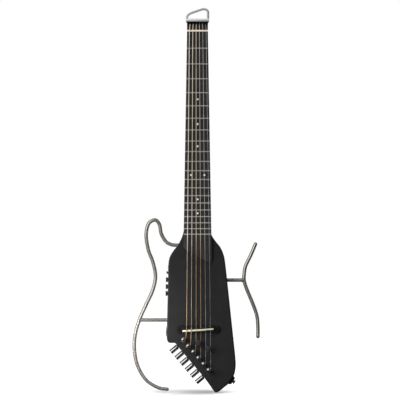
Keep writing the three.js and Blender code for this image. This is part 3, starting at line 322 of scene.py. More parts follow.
HOUSING_CAP_RADIUS = 5.6
HOUSING_CAP_HEIGHT = 0.9
HOUSING_BOSS_RADIUS = 4.2
HOUSING_BOSS_LENGTH = 1.6
HOUSING_BOSS_INSET = 0.2
HOUSING_EDGE = 0.8
HOUSING_CAP_EDGE = 0.35
HOUSING_SCREW_RADIUS = 1.5
HOUSING_SCREW_INSET = 2.6
RECESS_MARGIN = 1.6
RECESS_CORNER = 4.0
KNOB_AXIS_OFFSET = 3.0
KNOB_RADIUS = 5.3
KNOB_SHAFT_RADIUS = 2.5
KNOB_REACH = 19.9
KNOB_STANDOFF = 1.2
KNOB_COLLAR_RADIUS = 3.6
KNOB_EDGE = 0.7
KNOB_BORE_SLACK = 0.45
KNOB_BORE_RUN = 5.0

# String trees
TREE_STRINGS = ((2, 3), (4, 5))
TREE_SETBACKS = (28.0, 39.5)
TREE_RADIUS = 6.4
TREE_STEM_RADIUS = 2.2
TREE_FOOT_RADIUS = 3.4
TREE_FOOT_HEIGHT = 1.4
TREE_RIM = 1.1
TREE_DOME = 0.8
TREE_DOME_SHOULDER = 0.7
TREE_STRING_HEIGHT = 6.6

# Small screws: each dome is given as shares of the head's radius and height
DOME_SHARES = ((1, 0), (0.98, 0.35), (0.8, 0.85), (0.45, 1))
DOME_FOOT = 0.6
DOME_FOOT_SHARE = 0.9
SOCKET_SHARE = 0.45
SUNK_DEPTH = 1.0
SUNK_RIM = 0.2
SUNK_POINT_SHARE = 0.6
CROSS_ARM_SHARE = 0.62
CROSS_HALF_SHARE = 0.14
CROSS_DEPTH = 0.6

# Frame tubes
TUBE_RADIUS = 3.9
TUBE_SIDES = 32
LEFT_FRAME_REACH = 136.0
LEFT_FRAME_TOP = 404.5
LEFT_FRAME_HEIGHT = 363.2
LEFT_RUN_SHARES = (
    (-0.382, 0.1484), (-0.433, 0.1432), (-0.493, 0.1305), (-0.5725, 0.0821), (-0.6059, 0.0237),
    (-0.669, 0), (-0.7647, 0.018), (-0.8108, 0.0812), (-0.7796, 0.1743), (-0.7036, 0.2525),
    (-0.6644, 0.337), (-0.7097, 0.417), (-0.8075, 0.497), (-0.9191, 0.592), (-0.9868, 0.6817),
    (-0.998, 0.77), (-0.942, 0.8681), (-0.8022, 0.9515), (-0.6081, 0.9943), (-0.4816, 1.002),
)
LEFT_RUN_STEPS = 12
LEFT_STRUT_INDEX = 13
RIGHT_FRAME_REACH = 130.0
RIGHT_FRAME_TOP = 456.4
RIGHT_FRAME_HEIGHT = 198.7
RIGHT_RUN_SHARES = (
    (0.96, 0), (0.8823, 0.1193), (0.7931, 0.2436), (0.7738, 0.32), (0.7705, 0.3895),
    (0.8069, 0.4736), (0.9092, 0.6361), (0.9831, 0.7766), (1, 0.8988), (1, 1),
)
RIGHT_RUN_STEPS = 16
RIGHT_STRUT_INDEX = 4
FRAME_DEPTH = 20.0
SLEEVE_RADIUS = 5.4
SLEEVE_LENGTH = 17.0
SLEEVE_PLAY = 0.12
SLEEVE_BORE_RUN = 60.0
SPIGOT_END_GAP = 1.0
WELD_RADIUS = 0.75
WELD_RIPPLE = 0.12
WELD_LEAST_RISE = 0.12
WELD_SECTION_SIDES = 10
LOCK_SCREW_RADIUS = 2.0
LOCK_SCREW_SIDES = 36
LOCK_HEAD_RADIUS = 4.0
LOCK_HEAD_HEIGHT = 3.0
LOCK_HEAD_SINK = 1.0
LOCK_SLOT_WIDTH = 1.2
LOCK_SLOT_DEPTH = 1.0

# Side controls, cavity, jack and strap button
CONTROL_DEPTH = 20.0
BUTTON_FROM_NUT = 517.5
CONTROLS_FROM_NUT = (533.0, 547.75, 562.5)
CONTROL_KNOB_RADIUS = 5.15
CONTROL_KNOB_HEIGHT = 4.3
CONTROL_STANDOFF = 0.5
CONTROL_RIBS = 24
CONTROL_RIB_RADIUS = 0.32
CONTROL_RIB_FOOT = 0.3
CONTROL_RIB_BEND = 0.7
CONTROL_RIB_SIDES = 6
CONTROL_SHAFT_RADIUS = 3.0
CONTROL_SHAFT_LENGTH = 6.0
CONTROL_BORE_RADIUS = 3.3
CONTROL_BORE_RUN = 5.0
POWER_BUTTON_RADIUS = 2.9
POWER_STEM_RADIUS = 1.8
POWER_STEM_LENGTH = 4.3
POWER_CAP_LOW = 1.3
POWER_CAP_HEIGHT = 2.6
POWER_DISH_SHARE = 0.6
POWER_DISH_DEPTH = 0.3
SIDE_WALL = 5.0
CAVITY_TOP = 505.0
CAVITY_LENGTH = 70.0
CAVITY_WIDTH = 33.0
CAVITY_FLOOR = 10.0
CAVITY_CORNER = 3.0
COVER_THICKNESS = 2.0
COVER_LIP = 5.0
COVER_SCREW_INSET = 3.0
COVER_SCREW_RADIUS = 2.0
COVER_SCREW_PROUD = 0.15
COVER_EDGE = 0.4
JACK_FROM_NUT = 644.1
JACK_PLATE_LENGTH = 20.0
JACK_PLATE_WIDTH = 16.0
JACK_PLATE_THICKNESS = 1.3
JACK_BARREL_RADIUS = 5.2
JACK_BARREL_LENGTH = 22.0
JACK_BORE_RADIUS = 3.3
JACK_BORE_FLOOR = 2.0
JACK_BORE_RUN = 5.0
JACK_HOLE_RUN = 30.0
JACK_EDGE = 0.35
BUTTON_EDGE = 0.6
BUTTON_PROFILE = ((0, 0.3), (10, 0.3), (10, 2.6), (7.2, 5.6), (0, 5.6))
BUTTON_NECK_PROFILE = ((0, 5.5), (3.1, 5.5), (3.1, 7.7), (0, 7.7))
BUTTON_RIM_PROFILE = ((0, 7.6), (3.1, 7.6), (4.6, 7.9), (4.6, 9.5), (4.3, 9.8), (0, 9.8))


# Forms: each is (points, faces), in the drawing's millimetres


def moved(form, matrix):
    points, faces = form
    return [matrix @ Vector(point) for point in points], faces


def together(*forms):
    """One form made of several, left as separate shells."""
    points, faces = [], []
    for some, theirs in forms:
        faces += [[at + len(points) for at in face] for face in theirs]
        points += list(some)
    return points, faces


def skin(rings, closed=False):
    """A skin over rings of equal count, capped at both ends unless the last joins the first."""
    count = len(rings[0])
    points = [point for ring in rings for point in ring]
    faces = []
    spans = len(rings) if closed else len(rings) - 1
    for ring in range(spans):
        here, there = ring * count, (ring + 1) % len(rings) * count
        for side in range(count):
            after = (side + 1) % count
            faces.append([here + side, here + after, there + after, there + side])
    if not closed:
        faces.append(list(reversed(range(count))))
        faces.append(list(range(len(points) - count, len(points))))
    return points, faces


def turned(profile, sides=ROUND_SIDES):
    """A turned form about z; the profile is (radius, height) from the axis round to the axis."""
    low, high = profile[0][1], profile[-1][1]
    wall = [at for at in profile if at[0] > 0]
    rings = []
    for radius, height in wall:
        angles = [2 * math.pi * side / sides for side in range(sides)]
        rings.append([Vector((radius * math.cos(a), radius * math.sin(a), height)) for a in angles])
    points, faces = skin(rings)
    del faces[-2:]
    count = len(points)
    points += [Vector((0, 0, low)), Vector((0, 0, high))]
    for side in range(sides):
        after = (side + 1) % sides
        faces.append([count, after, side])
        faces.append([count + 1, count - sides + side, count - sides + after])
    return points, faces


def ring_turned(profile, sides=ROUND_SIDES):
    """A turned ring about z, its profile a closed loop clear of the axis."""
    rings = []
    for side in range(sides):
        a = 2 * math.pi * side / sides
        rings.append([Vector((r * math.cos(a), r * math.sin(a), z)) for r, z in profile])
    return skin(rings, closed=True)


def eased(profile, radius, steps=3, loop=False):
    """A profile with its corners rounded."""
    out = []
    count = len(profile)
    for i, corner in enumerate(profile):
        corner = Vector(corner)
        if not loop and i in (0, count - 1):
            out.append(tuple(corner))
            continue
        before, after = Vector(profile[i - 1]) - corner, Vector(profile[(i + 1) % count]) - corner
        reach = min(radius, before.length * LONGEST_EASE, after.length * LONGEST_EASE)
        start, end = corner + before.normalized() * reach, corner + after.normalized() * reach
        for step in range(steps + 1):
            t = step / steps
            out.append(tuple(start * (1 - t) ** 2 + corner * 2 * t * (1 - t) + end * t ** 2))
    return out


def inset(outline, distance):
    """A counterclockwise outline moved inwards."""
    count = len(outline)
    out = []
    for i in range(count):
        before, here, after = (Vector(outline[(i + k) % count]) for k in (-1, 0, 1))
        a, b = (here - before).normalized(), (after - here).normalized()
        across = Vector((-a.y - b.y, a.x + b.x))
        if across.length < 1e-6:
            across = Vector((-a.y, a.x))
        across.normalize()
        lean = max(across.dot(Vector((-b.y, b.x))), LEAST_LEAN)
        out.append(here + across * (distance / lean))
    return out


def slab(outline, low, high, ease=0.0, steps=EASE_STEPS):
    """A plate between two heights from a counterclockwise outline, its edges rounded."""
    levels = [(0.0, low), (0.0, high)]
    if ease > 0:
        bend = [math.pi / 2 * step / steps for step in range(steps + 1)]
        lower = [(ease * (1 - math.sin(a)), low + ease * (1 - math.cos(a))) for a in bend]
        upper = [(inward, low + high - z) for inward, z in reversed(lower)]
        levels = lower + upper
    rings = [[Vector((*p, z)) for p in inset(outline, d)] for d, z in levels]
    return skin(rings)


def rectangle(x_low, x_high, y_low, y_high, corner=0.0, steps=6):
    """A counterclockwise outline, its corners round if asked."""
    if corner <= 0:
        return [(x_low, y_low), (x_high, y_low), (x_high, y_high), (x_low, y_high)]
    out = []
    places = ((x_high, y_low, -1), (x_high, y_high, 0), (x_low, y_high, 1), (x_low, y_low, 2))
    for x, y, quarter in places:
        cx = x - corner if x == x_high else x + corner
        cy = y - corner if y == y_high else y + corner
        for step in range(steps + 1):
            a = math.pi / 2 * (quarter + step / steps)
            out.append((cx + corner * math.cos(a), cy + corner * math.sin(a)))
    return out


def stadium(length, width, steps=28):
    """A counterclockwise outline with two half-round ends, longest across."""
    radius, reach = width / 2, (length - width) / 2
    out = []
    for side in (1, -1):
        for step in range(steps + 1):
            a = math.pi * (step / steps - side / 2)
            out.append((side * reach + radius * math.cos(a), radius * math.sin(a)))
    return out


def block(x_low, x_high, y_low, y_high, z_low, z_high):
    return slab(rectangle(x_low, x_high, y_low, y_high), z_low, z_high)


def tube(points, radius, sides=SMALL_SIDES):
    """A round tube through points, its rings carried along without twist."""
    points = [Vector(point) for point in points]
    ways = [(b - a).normalized() for a, b in zip(points, points[1:])]
    across = Vector((0, 0, 1))
    if abs(ways[0].z) > 0.9:
        across = Vector((1, 0, 0))
    rings = []
    for i, point in enumerate(points):
        ahead = (ways[max(i - 1, 0)] + ways[min(i, len(ways) - 1)]).normalized()
        across = (across - ahead * across.dot(ahead)).normalized()
        beside = ahead.cross(across)
        angles = [2 * math.pi * side / sides for side in range(sides)]
        rings.append([point + (across * math.cos(a) + beside * math.sin(a)) * radius for a in angles])
    return skin(rings)


def rod(start, end, radius, sides=SMALL_SIDES):
    return tube([start, end], radius, sides)


def mesh_of(form, where=Matrix()):
    """A mesh with its faces turned outwards."""
    points, faces = form
    mesh = bpy.data.meshes.new("form")
    mesh.from_pydata([where @ Vector(point) for point in points], [], faces)
    mesh.validate()
    tidy = bmesh.new()
    tidy.from_mesh(mesh)
    bmesh.ops.recalc_face_normals(tidy, faces=tidy.faces)
    tidy.to_mesh(mesh)
    tidy.free()
    return mesh


def form_of(mesh):
    return [v.co.copy() for v in mesh.vertices], [list(face.vertices) for face in mesh.polygons]


def in_scene(name, data):
    thing = bpy.data.objects.new(name, data)
    bpy.context.scene.collection.objects.link(thing)
    return thing


def evaluated(thing):
    """The mesh that an object's modifiers give, with the object removed."""
    graph = bpy.context.evaluated_depsgraph_get()
    made = bpy.data.meshes.new_from_object(thing.evaluated_get(graph))
    bpy.data.objects.remove(thing)
    return made


def boolean(mesh, form, operation="DIFFERENCE"):
    """A mesh in drawing millimetres cut by a form, joined to it or kept where both are."""
    thing, tool = in_scene("work", mesh), in_scene("tool", mesh_of(form))
    modifier = thing.modifiers.new("cut", "BOOLEAN")
    modifier.operation, modifier.solver, modifier.object = operation, "EXACT", tool
    made = evaluated(thing)
    bpy.data.objects.remove(tool)
    return made


def bevelled(mesh, width, segments=2, angle=40):
    """A mesh with the edges that bend more than an angle bevelled."""
    thing = in_scene("work", mesh)
    modifier = thing.modifiers.new("edge", "BEVEL")
    modifier.width, modifier.segments = width, segments
    modifier.limit_method, modifier.angle_limit = "ANGLE", math.radians(angle)
    modifier.use_clamp_overlap = True
    return evaluated(thing)


def mark_edges(mesh):
    """Smooth shading, with sharp edges at corners and round flat faces."""
    work = bmesh.new()
    work.from_mesh(mesh)
    for face in work.faces:
        face.smooth = True
    for edge in work.edges:
        if len(edge.link_faces) != 2:
            continue
        bend = edge.calc_face_angle(0)
        flat = any(len(face.verts) > 4 for face in edge.link_faces)
        edge.smooth = bend < SMOOTH_ANGLE and not (flat and bend > FLAT_ANGLE)
    work.to_mesh(mesh)
    work.free()


def shown(name, mesh, slot, body):
    """A finished mesh as an object of the scene, on its body."""
    mesh.name = name
    thing = in_scene(name, mesh)
    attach(thing, body)
    return thing


def piece(name, form, finish, slot, body="root", nodes=(), where=Matrix()):
    """A finished piece of the guitar from a form or a mesh in drawing millimetres."""
    mesh = form if isinstance(form, bpy.types.Mesh) else mesh_of(form)
    mesh.transform(DRAWING @ where)
    mark_edges(mesh)
    mesh.materials.clear()
    mesh.materials.append(finish)
    thing = shown(name, mesh, slot, body)
    if nodes:
        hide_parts(*nodes)


# Nodes and finishes


class Value:
    """A number socket; arithmetic on it adds the Math nodes."""

    def __init__(self, nodes, socket):
        self.nodes = nodes
        self.socket = socket

    def math(self, operation, *values):
        made = self.nodes.node("ShaderNodeMath", {"operation": operation}, dict(enumerate(values)))
        return Value(self.nodes, made.outputs[0])

    def __add__(self, other):
        return self.math("ADD", self, other)

    def __sub__(self, other):
        return self.math("SUBTRACT", self, other)

    def __mul__(self, other):
        return self.math("MULTIPLY", self, other)

    def __truediv__(self, other):
        return self.math("DIVIDE", self, other)

    def __rsub__(self, other):
        return self.math("SUBTRACT", other, self)

    __radd__ = __add__
    __rmul__ = __mul__

    def sine(self):
        return self.math("SINE", self)

    def clamped(self):
        return self.math("MINIMUM", self.math("MAXIMUM", self, 0), 1)


class Nodes:
    """A node tree; its node method adds every node in it."""

    def __init__(self, tree):
        self.tree = tree

    def feed(self, node, values):
        """Links each input to its value's socket, or writes the value in."""
        for key, value in values.items():
            socket = node.inputs[key.replace("_", " ") if isinstance(key, str) else key]
            source = value.socket if isinstance(value, Value) else value
            if isinstance(source, bpy.types.NodeSocket):
                self.tree.links.new(source, socket)
            else:
                socket.default_value = source

    def node(self, kind, settings=None, values=None):
        made = self.tree.nodes.new(kind)
        for key, value in (settings or {}).items():
            setattr(made, key, value)
        self.feed(made, values or {})
        return made

    def ranged(self, value, low, high, low_level, high_level):
        """A value that goes smoothly from one level to another over a range."""
        made = self.node("ShaderNodeMapRange", {"interpolation_type": "SMOOTHSTEP"}, {
            "Value": value, "From Min": low, "From Max": high, "To Min": low_level, "To Max": high_level,
        })
        return Value(self, made.outputs["Result"])

    def part(self, vector, axis):
        """One coordinate of a vector."""
        return Value(self, self.node("ShaderNodeSeparateXYZ", None, {0: vector}).outputs[axis])


class Finish(Nodes):
    """A procedural material on one principled shader."""

    def __init__(self, name, **constants):
        self.material = bpy.data.materials.new(name)
        self.material.use_nodes = True
        super().__init__(self.material.node_tree)
        self.shader = self.tree.nodes["Principled BSDF"]
        self.feed(self.shader, constants)

    def place(self, stretch=(1, 1, 1), source="Object"):
        """Object coordinates, or another output of Texture Coordinate, stretched."""
        where = self.node("ShaderNodeTexCoord").outputs[source]
        mapping = self.node("ShaderNodeMapping", None, {"Vector": where, "Scale": stretch})
        return mapping.outputs["Vector"]

    def noise(self, scale, stretch=(1, 1, 1), detail=3.0, low=0.3, high=0.7):
        """Noise spread to run from 0 to 1."""
        values = {"Vector": self.place(stretch), "Scale": scale, "Detail": detail}
        made = self.node("ShaderNodeTexNoise", None, values)
        spread = {"Value": made.outputs["Fac"], "From Min": low, "From Max": high}
        ranged = self.node("ShaderNodeMapRange", None, spread)
        return Value(self, ranged.outputs["Result"])

    def colours(self, amount, first, second):
        made = self.node("ShaderNodeMix", {"data_type": "RGBA"}, {0: amount, 6: (*first, 1), 7: (*second, 1)})
        return made.outputs[2]

    def bump(self, height, distance, strength=1.0):
        values = {"Height": height, "Distance": distance, "Strength": strength}
        return self.node("ShaderNodeBump", None, values).outputs["Normal"]

    def surface(self, **values):
        self.feed(self.shader, values)
        return self.material


def grained(name, colours, rough, grain, stretch=(1, 1, 1), bump=0.00001, **constants):
    """A finish whose colour drifts between two, with a fine grain in its gloss and surface.

    The grain holds the scale of the drift and that of the fine grain.
    """
    finish = Finish(name, **constants)
    drift = finish.noise(grain[0], stretch)
    fine = finish.noise(grain[1], stretch)
    return finish.surface(
        Base_Color=finish.colours(drift, *colours),
        Roughness=fine * (rough[1] - rough[0]) + rough[0],
        Normal=finish.bump(fine, bump),
    )


def grey(level, warmth=0.0):
    return (level * (1 + warmth), level, level * (1 - warmth))


lacquer = grained(
    "black_lacquer", (grey(0.014), grey(0.017)), (0.42, 0.5), (40, 2600), bump=0.000006,
    Specular_IOR_Level=0.16,
)
ebony = grained(
    "fingerboard_ebony", (grey(0.016, 0.04), grey(0.036, 0.06)), (0.42, 0.6), (160, 700), (6, 6, 0.35),
    bump=0.00003, Specular_IOR_Level=0.2,
)
bone = grained(
    "polished_bone", ((0.68, 0.62, 0.49), (0.76, 0.7, 0.56)), (0.25, 0.4), (150, 1500), bump=0.000004
)
saddle_bone = grained(
    "saddle_bone", ((0.55, 0.51, 0.38), (0.62, 0.58, 0.44)), (0.25, 0.4), (150, 1500), bump=0.000004
)
pearl = grained("white_dot", ((0.8, 0.8, 0.78), (0.95, 0.95, 0.93)), (0.15, 0.3), (600, 2500), bump=0.000002)
satin_zinc = grained(
    "satin_zinc", (grey(0.6), grey(0.68)), (0.36, 0.46), (120, 3000), bump=0.000008, Metallic=0.1
)
black_metal = grained(
    "black_metal", (grey(0.008), grey(0.014)), (0.24, 0.36), (150, 2800), bump=0.000005, Metallic=0.3
)
dull_black = grained("dull_black", (grey(0.001), grey(0.003)), (0.7, 0.8), (90, 2200), Specular_IOR_Level=0.1)
black_plastic = grained("moulded_black", (grey(0.014), grey(0.022)), (0.4, 0.55), (90, 2200), bump=0.00001)
loop_steel = grained(
    "satin_loop", (grey(0.64), grey(0.72)), (0.3, 0.42), (120, 3000), bump=0.000008, Metallic=0.6
)
bridge_black = grained(
    "bridge_black", (grey(0.007), grey(0.009)), (0.3, 0.38), (90, 2200), bump=0.000004,
    Specular_IOR_Level=0.35,
)
chrome = grained(
    "polished_chrome", (grey(0.7), grey(0.78)), (0.06, 0.13), (200, 2400), bump=0.000001, Metallic=1.0
)
fret_metal = grained(
    "fret_nickel", (grey(0.36, 0.02), grey(0.44, 0.02)), (0.2, 0.32), (300, 2000), (0.4, 1, 1), Metallic=0.35
)
tube_steel = grained(
    "satin_stainless", (grey(0.62, 0.07), grey(0.7, 0.07)), (0.2, 0.28), (60, 2500), bump=0.000004,
    Metallic=0.88,
)
weld_steel = grained(
    "weld_bead", (grey(0.3, 0.08), grey(0.42, 0.06)), (0.35, 0.5), (400, 1800), bump=0.00004, Metallic=1.0
)
brass = grained(
    "machined_brass", ((0.6, 0.44, 0.18), (0.7, 0.53, 0.24)), (0.2, 0.35), (200, 2500), Metallic=1.0
)
circuit = grained("solder_mask", ((0.01, 0.07, 0.03), (0.015, 0.1, 0.045)), (0.3, 0.45), (500, 3000))


def painted_neck_sheen(finish):
    """Painted sheen: from 0 over the body to 1 over the frets, where a string is painted brighter in place of
    the reflections it shows there.
    """
    return finish.ranged(finish.part(finish.place(), "Z"), SHEEN_FROM, SHEEN_TO, 0, 1)


def plain_steel():
    """Drawn wire, with a painted sheen that makes it brighter over the neck than over the body."""
    finish = Finish("plain_wire", Metallic=0.1)
    patch = finish.noise(200)
    # painted sheen: the wire's colour is brighter over the neck than over the body
    shade = painted_neck_sheen(finish) * SHEEN_PART + patch * 0.1
    return finish.surface(
        Base_Color=finish.colours(shade, grey(STEEL_OVER_BODY), grey(STEEL_SHEEN_OVER_NECK)),
        Roughness=patch * 0.1 + 0.2,
    )


def wound_bronze(diameter):
    """Bronze wire wound round a core: ridges one wrap wide along the string, with painted shade in the
    grooves between wraps and a painted sheen over the neck.
    """
    wrap = diameter * WRAP_SHARE
    finish = Finish("wound_bronze", Metallic=0.1)
    run = finish.place(source="UV")
    ridge = finish.part(run, "X") * (2 * math.pi / wrap) + finish.part(run, "Y") * (2 * math.pi)
    ridge = ridge.sine() * 0.5 + 0.5
    patch = finish.noise(90)
    # painted shade: the colour is darker in the grooves between wraps; painted sheen: it is brighter over the
    # neck than over the body
    shade = (ridge * 0.1 + patch * 0.05 + painted_neck_sheen(finish) * SHEEN_PART).clamped()
    return finish.surface(
        Base_Color=finish.colours(shade, BRONZE_OVER_BODY, BRONZE_SHEEN_OVER_NECK),
        Roughness=patch * 0.12 + 0.26,
        Normal=finish.bump(ridge, wrap * RIDGE_SHARE * MILLIMETRE, 0.8),
    )


# Layout


def half_width_at(from_nut):
    """Half the fingerboard's width, and the neck's, at a distance from the nut."""
    widening = (OCTAVE_WIDTH - NUT_WIDTH) / (SCALE_LENGTH / 2)
    return (NUT_WIDTH + widening * max(from_nut, 0)) / 2


def crown_drop(x):
    """How far below its middle the crowned fingerboard lies at x."""
    return BOARD_RADIUS - math.sqrt(BOARD_RADIUS ** 2 - x ** 2)


def fret_from_nut(number):
    return SCALE_LENGTH * (1 - 2 ** (-number / NOTES_PER_OCTAVE))


def body_point(share):
    """A place on the face from its shares of the body's width and height, scaled apart at the bridge."""
    across, down = share
    below = (down - BRIDGE_SHARE) / (1 - BRIDGE_SHARE)
    past = TAIL_LENGTH * below if below > 0 else BRIDGE_DOWN * (down / BRIDGE_SHARE - 1)
    return Vector((across * BODY_WIDTH, -SCALE_LENGTH - past))


def hermite(start, end, leave, arrive, t):
    """The place at t on a curve that leaves its start and arrives at its end at given paces."""
    return (
        start * (2 * t ** 3 - 3 * t ** 2 + 1) + leave * (t ** 3 - 2 * t ** 2 + t)
        + end * (3 * t ** 2 - 2 * t ** 3) + arrive * (t ** 3 - t ** 2)
    )


def smooth_run(points, steps=CURVE_STEPS):
    """A uniform curve through points, its ends as straight as their neighbours."""
    last = len(points) - 1
    out = []
    for i in range(last):
        a, b = points[i], points[i + 1]
        before, after = points[max(i - 1, 0)], points[min(i + 2, last)]
        leave, arrive = (b - before) / 2, (after - a) / 2
        out += [hermite(a, b, leave, arrive, step / steps) for step in range(steps)]
    return out + [points[last]]


def bend_between(start, corner, end, steps=CURVE_STEPS):
    """A bend from start to end that heads for the corner at both, without its start."""
    ts = [step / steps for step in range(1, steps + 1)]
    return [start * (1 - t) ** 2 + corner * 2 * t * (1 - t) + end * t ** 2 for t in ts]


def body_outline():
    """The body seen from the face, counterclockwise from the top of its left shoulder."""
    out = smooth_run([body_point(share) for share in LEFT_SHOULDER_SHARES])
    end, corner, turn_end, lead, slant_corner, slant_start, slant_end, low, high, side = (
        body_point(share) for share in (
            LEFT_SIDE_END_SHARE, LEFT_CORNER_SHARE, LEFT_CORNER_END_SHARE, SLANT_LEAD_SHARE,
            SLANT_CORNER_SHARE, SLANT_START_SHARE, SLANT_END_SHARE, BUTTON_FACE_LOW_SHARE,
            BUTTON_FACE_HIGH_SHARE, RIGHT_SIDE_START_SHARE,
        )
    )
    out += [end] + bend_between(end, corner, turn_end)
    out += [lead] + bend_between(lead, slant_corner, slant_start)
    out += smooth_run([slant_end] + [body_point(share) for share in TIP_SHARES])
    out += [low]
    out += smooth_run([high] + [body_point(share) for share in RIGHT_FLANK_SHARES])
    out += smooth_run([side] + [body_point(share) for share in RIGHT_SHOULDER_SHARES])
    return out


OUTLINE = body_outline()


def body_edge(y, side):
    """Where the body's side lies at a height, on the left (-1) or on the right (1)."""
    found = []
    for a, b in zip(OUTLINE, OUTLINE[1:] + OUTLINE[:1]):
        if (a.y > y) != (b.y > y):
            found.append(side * (a.x + (b.x - a.x) * (y - a.y) / (b.y - a.y)))
    return side * max(found)


SLANT_START = body_point(SLANT_START_SHARE)
SLANT_RUN = (body_point(SLANT_END_SHARE) - SLANT_START).normalized()
ROW = Matrix.Translation((*SLANT_START, 0)) @ Matrix.Rotation(math.atan2(-SLANT_RUN.x, SLANT_RUN.y), 4, "Z")
KNOB_AXIS = Matrix.Translation((0, KNOB_AXIS_OFFSET, -FRAME_DEPTH))


def tuner_along(i):
    return TUNER_FIRST + i * TUNER_PITCH


def in_row(x, i):
    """The place of tuner i in the row, so far out of the slanted edge."""
    return ROW @ Matrix.Translation((x, tuner_along(i), 0))


def spread(i, span, shift):
    """How far across string i lies where all of them span a width."""
    return shift + span * (i / (len(STRING_NAMES) - 1) - 0.5)


def saddle_y(x):
    """Where the slanted saddle's middle line lies at x."""
    return -SCALE_LENGTH - SADDLE_SETBACK + (x - SADDLE_SHIFT) * math.tan(SADDLE_SLOPE)


def winding(i):
    """The string's turns round its post, from where it comes down off the saddle."""
    post = in_row(-POST_INSET, i).translation
    x = spread(i, SADDLE_STRING_SPAN, STRING_SHIFT_AT_SADDLE)
    to_saddle = Vector((x - post.x, saddle_y(x) - post.y))
    diameter = STRING_DIAMETERS[i]
    radius = POST_WAIST_RADIUS + FIT + diameter / 2
    start = math.atan2(to_saddle.y, to_saddle.x) - math.acos(radius / to_saddle.length)
    out = []
    for step in range(WINDING_TURNS[i] * WINDING_STEPS + 1):
        turns = step / WINDING_STEPS
        a = start - 2 * math.pi * turns
        height = WINDING_LOW + diameter / 2 + (diameter + WINDING_GAP) * turns
        out.append(Vector((post.x + radius * math.cos(a), post.y + radius * math.sin(a), height)))
    return out


def tree_y(tree):
    return -SCALE_LENGTH - SADDLE_SETBACK - TREE_SETBACKS[tree]


def string_x_at(i, y):
    """Where a string crosses y on its straight way from the saddle to its post."""
    x = spread(i, SADDLE_STRING_SPAN, STRING_SHIFT_AT_SADDLE)
    top, meet = saddle_y(x), winding(i)[0]
    return x + (meet.x - x) * (top - y) / (top - meet.y)


def nut_string_height(i):
    x = spread(i, NUT_STRING_SPAN, STRING_SHIFT_AT_NUT)
    return BOARD_THICKNESS - crown_drop(x) + NUT_RISE + STRING_DIAMETERS[i] / 2


def ball_place(i):
    """The middle of a string's ball end, in its pocket in the anchor bar."""
    x = spread(i, ANCHOR_STRING_SPAN, STRING_SHIFT_AT_NUT)
    return Vector((x, ANCHOR_TOP - BALL_POCKET_DEPTH + FIT + BALL_RADIUS, ANCHOR_STRING_HEIGHT))


def string_route(i):
    """The string's middle line, from its ball end to the last turn on its post."""
    at_anchor = spread(i, ANCHOR_STRING_SPAN, STRING_SHIFT_AT_NUT)
    at_nut = spread(i, NUT_STRING_SPAN, STRING_SHIFT_AT_NUT)
    at_saddle = spread(i, SADDLE_STRING_SPAN, STRING_SHIFT_AT_SADDLE)
    y, over = saddle_y(at_saddle), SADDLE_HEIGHT - crown_drop(at_saddle - SADDLE_SHIFT)
    over += FIT + STRING_DIAMETERS[i] / 2
    corners = [
        ball_place(i),
        Vector((at_anchor, ANCHOR_LOW, ANCHOR_STRING_HEIGHT)),
        Vector((at_anchor, CLAMP_LOW, ANCHOR_STRING_HEIGHT)),
        Vector((at_nut, NUT_THICKNESS, nut_string_height(i))),
        Vector((at_nut, 0, nut_string_height(i))),
        Vector((at_saddle, y + SADDLE_THICKNESS / 4, over)),
        Vector((at_saddle, y - SADDLE_THICKNESS / 4, over)),
    ]
    for tree, pair in enumerate(TREE_STRINGS):
        if i in pair:
            for up in (TREE_RADIUS, -TREE_RADIUS):
                at = tree_y(tree) + up
                corners.append(Vector((string_x_at(i, at), at, TREE_STRING_HEIGHT)))
    turns = winding(i)
    return eased(corners + turns[:1], STRING_BEND)[:-1] + turns


# Fittings that repeat


def crowned_copies(name, finish):
    """The tree that sets a model on each place, turned and sized, and lays it on the fingerboard's crown."""
    nodes = Nodes(bpy.data.node_groups.new(name, "GeometryNodeTree"))
    node = nodes.node

    def socket(label, kind, way="INPUT"):
        return nodes.tree.interface.new_socket(label, in_out=way, socket_type=kind).identifier

    socket("Places", "NodeSocketGeometry")
    model = socket("Model", "NodeSocketObject")
    crown = socket("Crown Radius", "NodeSocketFloat")
    socket("Copies", "NodeSocketGeometry", "OUTPUT")
    entry = node("NodeGroupInput").outputs
    turn = node("GeometryNodeInputNamedAttribute", {"data_type": "QUATERNION"}, {"Name": "turn"})
    size = node("GeometryNodeInputNamedAttribute", {"data_type": "FLOAT_VECTOR"}, {"Name": "size"})
    info = node("GeometryNodeObjectInfo", None, {"Object": entry["Model"]})
    copies = node("GeometryNodeInstanceOnPoints", None, {
        "Points": entry["Places"], "Instance": info.outputs["Geometry"],
        "Rotation": turn.outputs["Attribute"], "Scale": size.outputs["Attribute"],
    })
    real = node("GeometryNodeRealizeInstances", None, {"Geometry": copies.outputs["Instances"]})
    across = nodes.part(node("GeometryNodeInputPosition").outputs[0], "X")
    drop = across * across / (Value(nodes, entry["Crown Radius"]) * -2)
    lowered = node("ShaderNodeCombineXYZ", None, {"Z": drop}).outputs[0]
    laid = node("GeometryNodeSetPosition", None, {"Geometry": real.outputs[0], "Offset": lowered})
    dressed = node("GeometryNodeSetMaterial", None, {"Geometry": laid.outputs[0], "Material": finish})
    node("NodeGroupOutput", None, {"Copies": dressed.outputs[0]})
    return nodes.tree, model, crown


